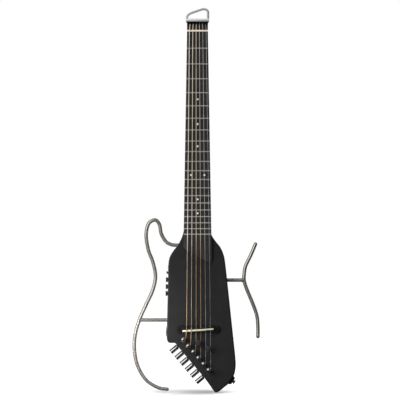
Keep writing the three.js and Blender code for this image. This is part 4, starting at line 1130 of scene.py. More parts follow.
def copied(name, form, places, finish, slot, body="root", crown=FLAT_CROWN):
    """Copies of a small form at places, made by Geometry Nodes and turned into one mesh."""
    tree, model, crown_radius = crowned_copies(name, finish)
    mesh = mesh_of(form)
    mark_edges(mesh)
    one = in_scene("model", mesh)
    cloud = bpy.data.meshes.new(name)
    cloud.from_pydata([place.translation for place in places], [], [])
    cloud.attributes.new("turn", "QUATERNION", "POINT")
    cloud.attributes.new("size", "FLOAT_VECTOR", "POINT")
    turns, sizes = cloud.attributes["turn"].data, cloud.attributes["size"].data
    for turn, size, place in zip(turns, sizes, places):
        turn.value = place.to_quaternion()
        size.vector = place.to_scale()
    thing = in_scene("work", cloud)
    modifier = thing.modifiers.new("copies", "NODES")
    modifier.node_group = tree
    modifier[model] = one
    modifier[crown_radius] = crown
    made = evaluated(thing)
    bpy.data.objects.remove(one)
    made.transform(DRAWING)
    shown(name, made, slot, body)


def screw_head(radius, height, socket_sides=6):
    """A domed head about z, with a socket for its key."""
    foot = [(0, -DOME_FOOT), (radius * DOME_FOOT_SHARE, -DOME_FOOT)]
    dome = foot + [(radius * out, height * up) for out, up in DOME_SHARES] + [(0, height)]
    blank = mesh_of(turned(eased(dome, SHARP_EASE, 2), SCREW_SIDES))
    key = rod((0, 0, height / 2), (0, 0, height + PAST), radius * SOCKET_SHARE, socket_sides)
    return form_of(boolean(blank, key))


def sunk_head(radius):
    """A flat head about z with a cross recess, its top at zero."""
    point = (radius * SUNK_POINT_SHARE, -SUNK_DEPTH)
    blank = mesh_of(turned([(0, -SUNK_DEPTH), point, (radius, -SUNK_RIM), (radius, 0), (0, 0)], SCREW_SIDES))
    arm, half = radius * CROSS_ARM_SHARE, radius * CROSS_HALF_SHARE
    for x, y in ((arm, half), (half, arm)):
        blank = boolean(blank, block(-x, x, -y, y, -CROSS_DEPTH, PAST))
    return form_of(blank)


# Body


def cavity_outline(margin):
    """The electronics cavity seen from the face, with a margin round it."""
    left = body_edge(-CAVITY_TOP - CAVITY_LENGTH / 2, -1) + SIDE_WALL
    x_low, x_high = left - margin, left + CAVITY_WIDTH + margin
    y_low, y_high = -CAVITY_TOP - CAVITY_LENGTH - margin, -CAVITY_TOP + margin
    return rectangle(x_low, x_high, y_low, y_high, CAVITY_CORNER)


def side_of(socket):
    return -1 if socket.startswith("left") else 1


def in_socket(socket, inward, z=-FRAME_DEPTH):
    """A place in line with a tube's sleeve, so far in from where the sleeve starts at the body's edge."""
    low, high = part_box(socket + "_sleeve")
    side = side_of(socket)
    edge = (low if side < 0 else high)[0] / MILLIMETRE + HANG_POINT.x
    y = (low[2] + high[2]) / 2 / MILLIMETRE + HANG_POINT.y
    return Vector((edge - side * inward, y, z))


SOCKETS = ("left_upper", "left_lower", "right")


def side_place(from_nut):
    """A place on the body's left side, its z out of the side."""
    edge = body_edge(-from_nut, -1)
    return Matrix.Translation((edge, -from_nut, -CONTROL_DEPTH)) @ OUT_OF_LEFT_SIDE


def body_cuts():
    """What is cut from the body, in three goes, each of forms that stay clear of one another."""
    below = -BODY_THICKNESS - PAST
    inner = -POST_INSET - HOUSING_INNER - RECESS_MARGIN
    outer = -POST_INSET + HOUSING_OUTER + HOUSING_BOSS_LENGTH + RECESS_MARGIN
    row_low = TUNER_FIRST - HOUSING_WIDTH / 2 - RECESS_MARGIN
    row_high = tuner_along(STRINGS[-1]) + HOUSING_WIDTH / 2 + RECESS_MARGIN
    recess = slab(rectangle(inner, outer, row_low, row_high, RECESS_CORNER), below, -TOP_PLATE)
    cavity = slab(cavity_outline(0), below, -CAVITY_FLOOR)
    bores = []
    for socket in SOCKETS:
        floor = in_socket(socket, SLEEVE_LENGTH + FIT)
        outside = floor + Vector((side_of(socket) * SLEEVE_BORE_RUN, 0, 0))
        bores.append(rod(floor, outside, SLEEVE_RADIUS + FIT, ROUND_SIDES))
    hole = side_place(JACK_FROM_NUT).translation
    floor, outside = hole + Vector((JACK_BARREL_LENGTH, 0, 0)), hole - Vector((JACK_HOLE_RUN, 0, 0))
    bores.append(rod(floor, outside, JACK_BARREL_RADIUS + FIT))
    yield together(moved(recess, ROW), cavity, *bores)
    seat = slab(cavity_outline(COVER_LIP + FIT), below, COVER_THICKNESS + FIT - BODY_THICKNESS)
    bores = []
    for i in STRINGS:
        through = rod((0, 0, -TOP_PLATE - PAST), (0, 0, PAST), BUSHING_RADIUS + SLACK)
        bores.append(moved(through, in_row(-POST_INSET, i)))
        shaft = rod((-POST_INSET / 2, 0, 0), (KNOB_BORE_RUN, 0, 0), KNOB_SHAFT_RADIUS + KNOB_BORE_SLACK)
        bores.append(moved(shaft, in_row(0, i) @ KNOB_AXIS))
    holes = [(from_nut, CONTROL_BORE_RADIUS) for from_nut in CONTROLS_FROM_NUT]
    for from_nut, radius in holes + [(BUTTON_FROM_NUT, POWER_STEM_RADIUS + FIT)]:
        stem = rod((0, 0, -SIDE_WALL - PAST), (0, 0, CONTROL_BORE_RUN), radius)
        bores.append(moved(stem, side_place(from_nut)))
    for socket in SOCKETS:
        screw = in_socket(socket, SLEEVE_LENGTH / 2, below)
        top = LOCK_HEAD_SINK + LOCK_HEAD_HEIGHT + FIT - BODY_THICKNESS
        bores.append(rod(screw, (screw.x, screw.y, top), LOCK_HEAD_RADIUS + FIT))
    yield together(seat, *bores)
    bores = []
    for socket in SOCKETS:
        start, end = in_socket(socket, SLEEVE_LENGTH / 2, below), in_socket(socket, SLEEVE_LENGTH / 2)
        bores.append(rod(start, end, LOCK_SCREW_RADIUS + FIT))
    yield together(*bores)


body_mesh = mesh_of(slab(OUTLINE, -BODY_THICKNESS, 0, EDGE_ROUND, BODY_EDGE_STEPS))
for cut in body_cuts():
    body_mesh = boolean(body_mesh, cut)
piece("body_shell", body_mesh, lacquer, "black_lacquer", nodes=("body",))


# Neck and fingerboard


def neck_depth_at(from_nut):
    """How deep the neck is below the face, with the curve into its heel."""
    share = max(from_nut, 0) / BODY_TOP
    slim = NECK_DEPTH_AT_NUT + (NECK_DEPTH_AT_HEEL - NECK_DEPTH_AT_NUT) * share
    into_heel = min(max(from_nut - (BODY_TOP - HEEL_CURVE), 0) / HEEL_CURVE, 1)
    return slim + (HEEL_DEPTH - slim) * (1 - math.sqrt(1 - into_heel ** 2))


def neck_ring(y):
    """The neck's section at y: flat under the fingerboard and a full oval behind."""
    half, depth = half_width_at(-y), neck_depth_at(-y)
    ring = []
    for step in range(NECK_SECTION_STEPS + 1):
        a = math.pi * step / NECK_SECTION_STEPS
        across = math.copysign(abs(math.cos(a)) ** NECK_FULLNESS, math.cos(a))
        down = math.sin(a) ** NECK_FULLNESS if 0 < step < NECK_SECTION_STEPS else 0
        ring.append(Vector((half * across, y, -depth * down)))
    return ring


heel_top = HEEL_CURVE - BODY_TOP
neck_low = CLOSE_FIT - BODY_TOP
heights = [
    neck_low + (heel_top - neck_low) * math.sin(math.pi / 2 * step / NECK_HEEL_STEPS)
    for step in range(NECK_HEEL_STEPS)
]
heights += [heel_top * (1 - step / NECK_SHAFT_STEPS) for step in range(NECK_SHAFT_STEPS)]
heights += [0, CLAMP_LOW + CLAMP_DEPTH]
piece("neck_shaft", skin([neck_ring(y) for y in heights]), lacquer, "black_lacquer", nodes=("neck",))


def board_outline():
    """The fingerboard seen from the face, with the slanted end over the body and its two round corners."""
    low, half = -BOARD_LENGTH, half_width_at(BOARD_LENGTH)
    left = low + (2 * half - TONGUE_CORNER) * math.tan(TONGUE_SLOPE)
    out = [Vector((-half_width_at(0), 0)), Vector((-half_width_at(-left), left))]
    start = Vector((
        half - TONGUE_CORNER * (1 + math.cos(TONGUE_SLOPE)), low + TONGUE_CORNER * math.sin(TONGUE_SLOPE)
    ))
    middle = Vector((half - TONGUE_CORNER / 2, low))
    out += [start] + bend_between(start, Vector((half - TONGUE_CORNER, low)), middle, TONGUE_STEPS)
    out += bend_between(middle, Vector((half, low)), Vector((half, low + TONGUE_CORNER)), TONGUE_STEPS)
    return out + [Vector((half_width_at(0), 0))]


def crowned_bar(height, y_low, y_high, half, steps=24):
    """A bar along y whose top follows the fingerboard's crown."""
    ring = [(-half, -height), (half, -height)]
    for step in range(steps + 1):
        x = half * (1 - 2 * step / steps)
        ring.append((x, height - crown_drop(x)))
    return skin([[Vector((x, y, z)) for x, z in ring] for y in (y_high, y_low)])


board = mesh_of(slab(board_outline(), BOARD_GLUE_LINE, BOARD_THICKNESS + 2 * PAST))
crown = crowned_bar(BOARD_THICKNESS, -BOARD_LENGTH - 2 * PAST, 2 * PAST, half_width_at(BOARD_LENGTH) + PAST)
board = bevelled(boolean(board, crown, "INTERSECT"), BOARD_EDGE)
piece("fingerboard_wood", board, ebony, "fingerboard_wood", nodes=("fingerboard",))

# painted shadow: a thin dull black strip on the face round the fingerboard's sides and slanted end, standing
# in for the shade at its edge
seam = inset(board_outline(), -SHADOW_STRIP_WIDTH)[1:-1]
seam.append(Vector((seam[-1].x, seam[0].y)))
piece("fingerboard_seam", slab(seam, SHADOW_STRIP_LOW, BOARD_GLUE_LINE - SHADOW_STRIP_LOW), dull_black, "black_lacquer")


def fret_wire():
    """A fret one unit long each way from the middle, its ends dressed down."""
    run = FRET_END_RUN / half_width_at(SCALE_LENGTH / 4)
    half = FRET_WIDTH / 2
    right = [(0.5, 1), (1 - run, 1), (1 - run * FRET_SHOULDER_SHARE, FRET_SHOULDER_LIFT), (1, FRET_END_LIFT)]
    left = [(-along, lift) for along, lift in reversed(right)]
    rings = []
    for along, lift in left + [(0, 1)] + right:
        ring = [Vector((along, half, -FRET_TANG)), Vector((along, -half, -FRET_TANG))]
        for step in range(FRET_SECTION_STEPS + 1):
            a = math.pi * (1 - step / FRET_SECTION_STEPS)
            height = FRET_HEIGHT * lift * math.sin(a) ** FRET_FULLNESS
            ring.append(Vector((along, half * math.cos(a), height)))
        rings.append(ring)
    return skin(rings)


def fret_place(number):
    """Where a fret lies, stretched to the fingerboard's width there."""
    at = fret_from_nut(number)
    reach = Matrix.Diagonal((half_width_at(at) - FRET_INSET, 1, 1, 1))
    return Matrix.Translation((0, -at, BOARD_THICKNESS)) @ reach


frets = [fret_place(number) for number in range(1, FRET_COUNT + 1)]
copied("frets", fret_wire(), frets, fret_metal, "stainless", crown=BOARD_RADIUS)


def dot_place(number, x):
    """A dot's place, halfway between a fret and the one nearer the nut."""
    between = (fret_from_nut(number - 1) + fret_from_nut(number)) / 2
    return Matrix.Translation((x + DOT_SHIFT, -between, BOARD_THICKNESS))


dots = [dot_place(fret, 0) for fret in DOT_FRETS]
dots += [dot_place(DOUBLE_DOT_FRET, side * DOUBLE_DOT_SPREAD) for side in (-1, 1)]
copied("position_dots", turned(DOT_PROFILE, SMALL_SIDES), dots, pearl, "bone", crown=BOARD_RADIUS)


def cross_skin(ring_at, half, steps):
    """The mesh of a bar along x whose section changes across the strings."""
    return mesh_of(skin([ring_at(half * (2 * step / steps - 1)) for step in range(steps + 1)]))


def nut_ring(x):
    """The nut's section at x, its top on the fingerboard's crown."""
    top = BOARD_THICKNESS - crown_drop(x) + NUT_RISE + STRING_DIAMETERS[0] / 2
    section = [(0, FIT), (NUT_THICKNESS, FIT)] + [(y, top - drop) for y, drop in NUT_TOP_SECTION]
    return [Vector((x, y, z)) for y, z in section]


def groove(i):
    """What a string's groove takes from the nut."""
    x, z = spread(i, NUT_STRING_SPAN, STRING_SHIFT_AT_NUT), nut_string_height(i)
    radius = STRING_DIAMETERS[i] / 2 + GROOVE_SLACK
    return rod((x, -PAST, z), (x, NUT_THICKNESS + PAST, z), radius, GROOVE_SIDES)


nut = boolean(cross_skin(nut_ring, half_width_at(0), NUT_STEPS), together(*(groove(i) for i in STRINGS)))
piece("nut_blank", bevelled(nut, NUT_EDGE, angle=60), bone, "bone", nodes=("nut",))


# Head


def bar_across(section, half, ease=ROUND_EASE):
    """A bar along x from a (y, z) section, its ends eased."""
    near = ease * BAR_END_SHARE
    right = [(half - ease, 0), (half - near, near), (half, ease)]
    left = [(-x, inward) for x, inward in reversed(right)]
    return skin([[Vector((x, *p)) for p in inset(section, inward)] for x, inward in left + right])


round_front = []
for step in range(ANCHOR_ROUND_STEPS + 1):
    a = math.pi * step / ANCHOR_ROUND_STEPS
    round_front.append((
        ANCHOR_LOW + ANCHOR_DEPTH / 2 * (1 + math.cos(a)), ANCHOR_FRONT - ANCHOR_DEPTH / 2 * (1 - math.sin(a))
    ))
anchor_back = [(ANCHOR_LOW, -ANCHOR_BACK), (ANCHOR_TOP, -ANCHOR_BACK)]
anchor_section = eased(anchor_back + round_front[:1], ANCHOR_CORNER)[:-1]
anchor = mesh_of(bar_across(anchor_section[1:] + round_front, ANCHOR_HALF_WIDTH))
holes, pockets = [], []
for i in STRINGS:
    place = ball_place(i)
    holes.append(rod((place.x, ANCHOR_LOW - PAST, place.z), place, STRING_DIAMETERS[i] / 2 + FIT))
    floor = (place.x, ANCHOR_TOP - BALL_POCKET_DEPTH, place.z)
    pockets.append(rod(floor, (place.x, ANCHOR_TOP + PAST, place.z), BALL_POCKET_RADIUS))
anchor = boolean(boolean(anchor, together(*holes)), together(*pockets))
piece("anchor_bar", anchor, satin_zinc, "satin_zinc", nodes=("anchor_block",))

clamp_low, clamp_high = CLAMP_LOW + FIT, CLAMP_LOW + CLAMP_DEPTH
clamp_outline = [
    (CLAMP_CHAMFER - CLAMP_HALF_WIDTH, clamp_low), (CLAMP_HALF_WIDTH - CLAMP_CHAMFER, clamp_low),
    (CLAMP_HALF_WIDTH, clamp_high - CLAMP_DEPTH / 3), (CLAMP_HALF_WIDTH, clamp_high),
    (-CLAMP_HALF_WIDTH, clamp_high), (-CLAMP_HALF_WIDTH, clamp_high - CLAMP_DEPTH / 3),
]
clamp = mesh_of(slab(clamp_outline, FIT, CLAMP_HEIGHT))
roof = ANCHOR_STRING_HEIGHT + STRING_DIAMETERS[0] / 2 + FIT
clamp_foot = CLAMP_HALF_WIDTH - CLAMP_FOOT_INSET
clamp = boolean(clamp, block(-clamp_foot, clamp_foot, clamp_low - PAST, clamp_high + PAST, -PAST, roof))
piece("clamp_plate", bevelled(clamp, CLAMP_EDGE), dull_black, "black_metal", nodes=("clamp_bar",))


def loop_route():
    """The loop's middle line: up from the left foot, over a slanted run and its highest bend, and down."""
    def at(x, y):
        return Vector((x, ANCHOR_TOP + y, -LOOP_DEPTH))

    left, right = -LOOP_HALF_SPAN, LOOP_HALF_SPAN
    slope = (LOOP_HEIGHT - LOOP_SHOULDER_HEIGHT) / (LOOP_PEAK_START - left)

    def rise(x):
        return LOOP_SHOULDER_HEIGHT + (x - left) * slope

    shoulder, peak = left + LOOP_SHOULDER_RUN, LOOP_PEAK_START
    start = at(left, LOOP_SHOULDER_HEIGHT - LOOP_SHOULDER_REACH)
    out = [at(left, -LOOP_ROOT), at(left, FIT), start]
    corner, end = at(left, LOOP_SHOULDER_HEIGHT), at(shoulder, rise(shoulder))
    out += bend_between(start, corner, end, LOOP_SHOULDER_STEPS)
    a, b = at(peak, rise(peak)), at(peak + LOOP_PEAK_REACH, rise(peak + LOOP_PEAK_REACH / 2))
    c, d = at(right, LOOP_HEIGHT - LOOP_PEAK_DROP / 3), at(right, LOOP_HEIGHT - LOOP_PEAK_DROP)
    for step in range(LOOP_PEAK_STEPS + 1):
        t = step / LOOP_PEAK_STEPS
        out.append(a * (1 - t) ** 3 + b * 3 * t * (1 - t) ** 2 + c * 3 * t ** 2 * (1 - t) + d * t ** 3)
    return out + [at(right, FIT), at(right, -LOOP_ROOT)]


piece("loop_rod", tube(loop_route(), LOOP_RADIUS, LOOP_SIDES), loop_steel, "satin_zinc", nodes=("head_loop",))


# Bridge and saddle

BRIDGE_AT = Matrix.Translation((BRIDGE_SHIFT, -SCALE_LENGTH - BRIDGE_SETBACK, 0))
SADDLE_PLACE = Matrix.Translation((SADDLE_SHIFT, -SCALE_LENGTH - SADDLE_SETBACK, 0))
SADDLE_AT = SADDLE_PLACE @ Matrix.Rotation(SADDLE_SLOPE, 4, "Z")

foot = slab(stadium(BRIDGE_LENGTH, BRIDGE_WIDTH), CLEAR_OF_FACE, BRIDGE_FOOT_HEIGHT, BRIDGE_EDGE)
ridge_outline = stadium(BRIDGE_RIDGE_LENGTH, BRIDGE_RIDGE_WIDTH)
ridge = slab(ridge_outline, BRIDGE_RIDGE_LOW, BRIDGE_TOP_HEIGHT, BRIDGE_EDGE)
bridge = boolean(mesh_of(foot, BRIDGE_AT), moved(ridge, BRIDGE_AT), "UNION")
slot_half, slot_deep = SADDLE_LENGTH / 2 + SLACK, SADDLE_THICKNESS / 2 + SLACK
slot = block(-slot_half, slot_half, -slot_deep, slot_deep, SADDLE_SLOT_FLOOR, ABOVE_SADDLE)
bridge = boolean(bridge, moved(slot, SADDLE_AT))
piece("bridge_base", bridge, bridge_black, "black_plastic", nodes=("bridge",))
bridge_screws = [
    BRIDGE_AT @ Matrix.Translation((side * BRIDGE_SCREW_SPREAD, 0, BRIDGE_FOOT_HEIGHT)) for side in (-1, 1)
]
bridge_screw = screw_head(BRIDGE_SCREW_RADIUS, BRIDGE_SCREW_HEIGHT)
copied("bridge_screws", bridge_screw, bridge_screws, black_metal, "black_metal")


def saddle_ring(x):
    """The saddle's section at x, its top on the strings' crown."""
    top, half = SADDLE_HEIGHT - crown_drop(x), SADDLE_THICKNESS / 2
    section = [(-half, SADDLE_LOW), (half, SADDLE_LOW)]
    section += [(half * share, top - drop) for share, drop in SADDLE_TOP_SECTION]
    return [Vector((x, y, z)) for y, z in section]


saddle_half = SADDLE_LENGTH / 2
saddle = cross_skin(saddle_ring, saddle_half, SADDLE_STEPS)
saddle_back = -SADDLE_THICKNESS / 2
step_cut = block(
    saddle_half - SADDLE_STEP_RUN, saddle_half + PAST, saddle_back - PAST, saddle_back + SADDLE_STEP_DEPTH,
    BRIDGE_TOP_HEIGHT, SADDLE_HEIGHT + 2 * PAST,
)
saddle = bevelled(boolean(saddle, step_cut), SADDLE_EDGE, angle=50)
piece("saddle_blank", saddle, saddle_bone, "bone", nodes=("saddle",), where=SADDLE_AT)


# Strings and the trees that hold them down


def wire(points, radius, sides=WIRE_SIDES):
    """A wire's mesh with a map of how far along it, in millimetres, and how far round."""
    mesh = mesh_of(tube(points, radius, sides))
    along = [0.0]
    for a, b in zip(points, points[1:]):
        along.append(along[-1] + (b - a).length)
    layer = mesh.uv_layers.new(name="run")
    for face in mesh.polygons:
        around = [mesh.loops[at].vertex_index % sides for at in face.loop_indices]
        seam = 0 in around and sides - 1 in around
        for at, side in zip(face.loop_indices, around):
            ring = mesh.loops[at].vertex_index // sides
            layer.data[at].uv = (along[ring], 1.0 if seam and side == 0 else side / sides)
    return mesh


def dense(points, longest):
    """Points added so that no stretch is long."""
    out = [points[0]]
    for a, b in zip(points, points[1:]):
        parts = max(1, math.ceil((b - a).length / longest))
        out += [a.lerp(b, part / parts) for part in range(1, parts + 1)]
    return out


bright_wire = plain_steel()
for i, name in enumerate(STRING_NAMES):
    mesh = wire(dense([Vector(point) for point in string_route(i)], STRING_STRETCH), STRING_DIAMETERS[i] / 2)
    finish, slot = bright_wire, "steel_string"
    if i < WOUND_STRINGS:
        finish, slot = wound_bronze(STRING_DIAMETERS[i]), "bronze_string"
    piece("string_wire_" + name, mesh, finish, slot, nodes=("string_" + name,))

spool = [(radius, -z) for radius, z in reversed(BALL_HALF_PROFILE)] + list(BALL_HALF_PROFILE)
balls = [Matrix.Translation(ball_place(i)) @ ALONG_X for i in STRINGS]
copied("ball_ends", turned(eased(spool, BALL_EDGE, 2), SMALL_SIDES), balls, brass, "brass")

for tree, pair in enumerate(TREE_STRINGS):
    y = tree_y(tree)
    x = (string_x_at(pair[0], y) + string_x_at(pair[1], y)) / 2
    under = TREE_STRING_HEIGHT + STRING_DIAMETERS[pair[0]] / 2 + FIT
    rim = under + TREE_RIM
    profile = [
        (0, CLEAR_OF_FACE), (TREE_FOOT_RADIUS, CLEAR_OF_FACE), (TREE_FOOT_RADIUS, TREE_FOOT_HEIGHT),
        (TREE_STEM_RADIUS, TREE_FOOT_HEIGHT + TREE_RIM), (TREE_STEM_RADIUS, under), (TREE_RADIUS, under),
        (TREE_RADIUS, rim), (TREE_RADIUS * TREE_DOME_SHOULDER, rim + TREE_DOME * TREE_DOME_SHOULDER),
        (0, rim + TREE_DOME),
    ]
    button, number = turned(eased(profile, SOFT_EASE), FINE_SIDES), str(tree + 1)
    piece(
        "string_tree_button_" + number, button, black_plastic, "black_metal",
        nodes=("string_tree_" + number,), where=Matrix.Translation((x, y, 0)),
    )


# Tuners


def post_mesh():
    """A post about z: its shaft, the waist that the string winds round and a slotted dome."""
    foot = -TOP_PLATE - HOUSING_HEIGHT / 2
    profile = [
        (0, foot), (POST_SHAFT_RADIUS, foot), (POST_SHAFT_RADIUS, POST_FOOT_HEIGHT),
        (POST_CAP_RADIUS, POST_FOOT_HEIGHT), (POST_CAP_RADIUS, POST_FOOT_HEIGHT + POST_LIP),
        (POST_WAIST_RADIUS, POST_WAIST_LOW), (POST_WAIST_RADIUS, POST_WAIST_HIGH),
        (POST_CAP_RADIUS, POST_WAIST_HIGH + POST_LIP),
    ]
    for step in range(DOME_STEPS + 1):
        a = math.pi / 2 * (1 - step / DOME_STEPS)
        profile.append((POST_CAP_RADIUS * math.sin(a), POST_HEIGHT - POST_DOME * (1 - math.cos(a))))
    reach, half = POST_CAP_RADIUS + PAST, POST_SLOT_WIDTH / 2
    slot = block(-reach, reach, -half, half, POST_HEIGHT - POST_SLOT_DEPTH, POST_HEIGHT + PAST)
    return boolean(mesh_of(turned(eased(profile, SHARP_EASE), FINE_SIDES)), slot)


def housing_mesh():
    """A closed gear housing about its post's axis, with a round lid and the boss round its knob's shaft."""
    top = -TOP_PLATE - FIT
    low = top - HOUSING_HEIGHT
    half = HOUSING_WIDTH / 2
    outline = rectangle(-HOUSING_INNER, HOUSING_OUTER, -half, half, HOUSING_CORNER)
    mesh = mesh_of(slab(outline, low, top, HOUSING_EDGE))
    lid_low, lid_high = low - HOUSING_CAP_HEIGHT, low + PAST
    lid = [(0, lid_low), (HOUSING_CAP_RADIUS, lid_low), (HOUSING_CAP_RADIUS, lid_high), (0, lid_high)]
    mesh = boolean(mesh, turned(eased(lid, HOUSING_CAP_EDGE)), "UNION")
    axis = Vector((0, KNOB_AXIS_OFFSET, -FRAME_DEPTH))
    start = axis + Vector((HOUSING_OUTER - HOUSING_CORNER, 0, 0))
    end = axis + Vector((HOUSING_OUTER + HOUSING_BOSS_LENGTH, 0, 0))
    within = block(
        0, HOUSING_OUTER + HOUSING_CORNER, -half + CLOSE_FIT, half - CLOSE_FIT,
        low + HOUSING_BOSS_INSET, top - HOUSING_BOSS_INSET,
    )
    boss = boolean(mesh_of(rod(start, end, HOUSING_BOSS_RADIUS, ROUND_SIDES)), within, "INTERSECT")
    return boolean(mesh, form_of(boss), "UNION")


knob_profile = [
    (0, -POST_INSET / 2), (KNOB_SHAFT_RADIUS, -POST_INSET / 2), (KNOB_SHAFT_RADIUS, FIT),
    (KNOB_COLLAR_RADIUS, FIT), (KNOB_COLLAR_RADIUS, KNOB_STANDOFF), (KNOB_RADIUS, KNOB_STANDOFF),
    (KNOB_RADIUS, KNOB_REACH), (0, KNOB_REACH),
]
bushing_bore = POST_SHAFT_RADIUS + SLACK
bushing_profile = [
    (bushing_bore, -TOP_PLATE), (BUSHING_RADIUS, -TOP_PLATE), (BUSHING_RADIUS, CLEAR_OF_FACE),
    (BUSHING_FLANGE_RADIUS, CLEAR_OF_FACE), (BUSHING_FLANGE_RADIUS, BUSHING_RIM),
    (BUSHING_FLANGE_RADIUS - BUSHING_SLOPE_RUN, BUSHING_FLANGE_HEIGHT), (bushing_bore, BUSHING_FLANGE_HEIGHT),
]
post, housing = post_mesh(), housing_mesh()
bushing = ring_turned(eased(bushing_profile, SHARP_EASE, 2, True), FINE_SIDES)
knob = turned(eased(knob_profile, KNOB_EDGE, 5), KNOB_SIDES)
housing_screws = []
for i in STRINGS:
    number = str(i + 1)
    at_post, at_knob = in_row(-POST_INSET, i), in_row(0, i) @ KNOB_AXIS @ ALONG_X
    body, node = "tuner_post_" + number, "tuner_housing_" + number
    piece("post_" + number, post.copy(), chrome, "chrome", body, (body,), at_post)
    piece("bushing_" + number, bushing, chrome, "chrome", nodes=("tuner_bushing_" + number,), where=at_post)
    piece("housing_" + number, housing.copy(), satin_zinc, "satin_zinc", nodes=(node,), where=at_post)
    body = "tuner_knob_" + number
    piece("knob_" + number, knob, chrome, "chrome", body, (body,), at_knob)
    for side in (-1, 1):
        x, y = HOUSING_OUTER - HOUSING_SCREW_INSET, side * (HOUSING_WIDTH / 2 - HOUSING_SCREW_INSET)
        z = -TOP_PLATE - FIT - HOUSING_HEIGHT
        housing_screws.append(at_post @ Matrix.Translation((x, y, z)) @ FACING_BACK)
copied("housing_screws", sunk_head(HOUSING_SCREW_RADIUS), housing_screws, black_metal, "black_metal")


# Frame tubes, their sleeves and lock screws


def centripetal(points, steps):
    """A smooth run that leaves and meets each point at the pace of its neighbours."""
    ghosts = [points[0] * 2 - points[1]] + list(points) + [points[-1] * 2 - points[-2]]
    out = []
    for a, b, c, d in zip(ghosts, ghosts[1:], ghosts[2:], ghosts[3:]):
        before, here, after = ((q - p).length ** 0.5 for p, q in ((a, b), (b, c), (c, d)))
        leave = ((b - a) / before - (c - a) / (before + here) + (c - b) / here) * here
        arrive = ((c - b) / here - (d - b) / (here + after) + (d - c) / after) * here
        out += [hermite(b, c, leave, arrive, step / steps) for step in range(steps)]
    return out + [points[-1]]


def run_points(shares, reach, top, height):
    """A tube's measured points, from their shares of how far out and how far down it goes."""
    return [Vector((across * reach, -top - down * height, -FRAME_DEPTH)) for across, down in shares]


def rounded_tube(points, round_start, round_end):
    """A frame tube whose open ends are domed."""
    rings = tube(points, TUBE_RADIUS, TUBE_SIDES)[0]
    rings = [rings[at:at + TUBE_SIDES] for at in range(0, len(rings), TUBE_SIDES)]

    def dome(ring, centre, ahead):
        out = []
        for step in range(1, DOME_STEPS):
            a = math.pi / 2 * step / DOME_STEPS
            rise = ahead * (TUBE_RADIUS * math.sin(a))
            out.append([centre + (point - centre) * math.cos(a) + rise for point in ring])
        return out

    if round_end:
        rings += dome(rings[-1], points[-1], (points[-1] - points[-2]).normalized())
    if round_start:
        rings = list(reversed(dome(rings[0], points[0], (points[0] - points[1]).normalized()))) + rings
    return skin(rings)


def weld(crossing, along, out_of_tube, sides=FINE_SIDES):
    """The bead where a strut leaves a tube of its own size."""
    beside = out_of_tube.cross(Vector((0, 0, 1)))
    normal = (out_of_tube - along * out_of_tube.dot(along)).normalized()
    lean, turn = normal.dot(out_of_tube), normal.dot(beside)
    centres = []
    for side in range(sides):
        a = 2 * math.pi * side / sides
        reach = TUBE_RADIUS * (max(abs(math.cos(a)), WELD_LEAST_RISE) - math.cos(a) * turn) / lean
        round_strut = (beside * math.cos(a) + Vector((0, 0, 1)) * math.sin(a)) * TUBE_RADIUS
        centres.append(crossing + out_of_tube * reach + round_strut)
    rings = []
    for i, centre in enumerate(centres):
        ahead = (centres[(i + 1) % sides] - centres[i - 1]).normalized()
        out = (centre - crossing).normalized()
        out = (out - ahead * out.dot(ahead)).normalized()
        other = ahead.cross(out)
        swell = WELD_RADIUS * (1 + WELD_RIPPLE * math.cos(i * math.pi))
        angles = [2 * math.pi * side / WELD_SECTION_SIDES for side in range(WELD_SECTION_SIDES)]
        rings.append([centre + (out * math.cos(b) + other * math.sin(b)) * swell for b in angles])
    return skin(rings, closed=True)


left_run = run_points(LEFT_RUN_SHARES, LEFT_FRAME_REACH, LEFT_FRAME_TOP, LEFT_FRAME_HEIGHT)
right_run = run_points(RIGHT_RUN_SHARES, RIGHT_FRAME_REACH, RIGHT_FRAME_TOP, RIGHT_FRAME_HEIGHT)
spigot = SLEEVE_LENGTH - SPIGOT_END_GAP


def bent_frame(name, main, socket, run, index, out_of_tube):
    """One side's frame: its bent tube, the strut that runs into a socket, and the bead between them."""
    strut = rod(in_socket(socket, spigot), run[index], TUBE_RADIUS, TUBE_SIDES)
    tubes = form_of(boolean(mesh_of(main), strut, "UNION"))
    along = (run[index + 1] - run[index - 1]).normalized()
    piece(name + "_tube", tubes, tube_steel, "stainless", name, (name,))
    piece(name + "_weld", weld(run[index], along, Vector((out_of_tube, 0, 0))), weld_steel, "stainless", name)


left_route = centripetal([in_socket("left_upper", spigot)] + left_run, LEFT_RUN_STEPS)
left_tube = rounded_tube(left_route, False, True)
right_tube = rounded_tube(centripetal(right_run, RIGHT_RUN_STEPS), True, True)
bent_frame("left_frame", left_tube, "left_lower", left_run, LEFT_STRUT_INDEX, 1)
bent_frame("right_frame", right_tube, "right", right_run, RIGHT_STRUT_INDEX, -1)


def lock_screw_mesh():
    """A slotted screw about z, its point inside the body and its head facing the back."""
    tip = BODY_THICKNESS - LOCK_HEAD_SINK - FRAME_DEPTH - TUBE_RADIUS - FIT
    profile = [
        (0, 0), (LOCK_HEAD_RADIUS, 0), (LOCK_HEAD_RADIUS, LOCK_HEAD_HEIGHT),
        (LOCK_SCREW_RADIUS, LOCK_HEAD_HEIGHT), (LOCK_SCREW_RADIUS, tip), (0, tip),
    ]
    reach, half = LOCK_HEAD_RADIUS + PAST, LOCK_SLOT_WIDTH / 2
    slot = block(-reach, reach, -half, half, -PAST, LOCK_SLOT_DEPTH)
    return boolean(mesh_of(turned(eased(profile, SOFT_EASE), LOCK_SCREW_SIDES)), slot)


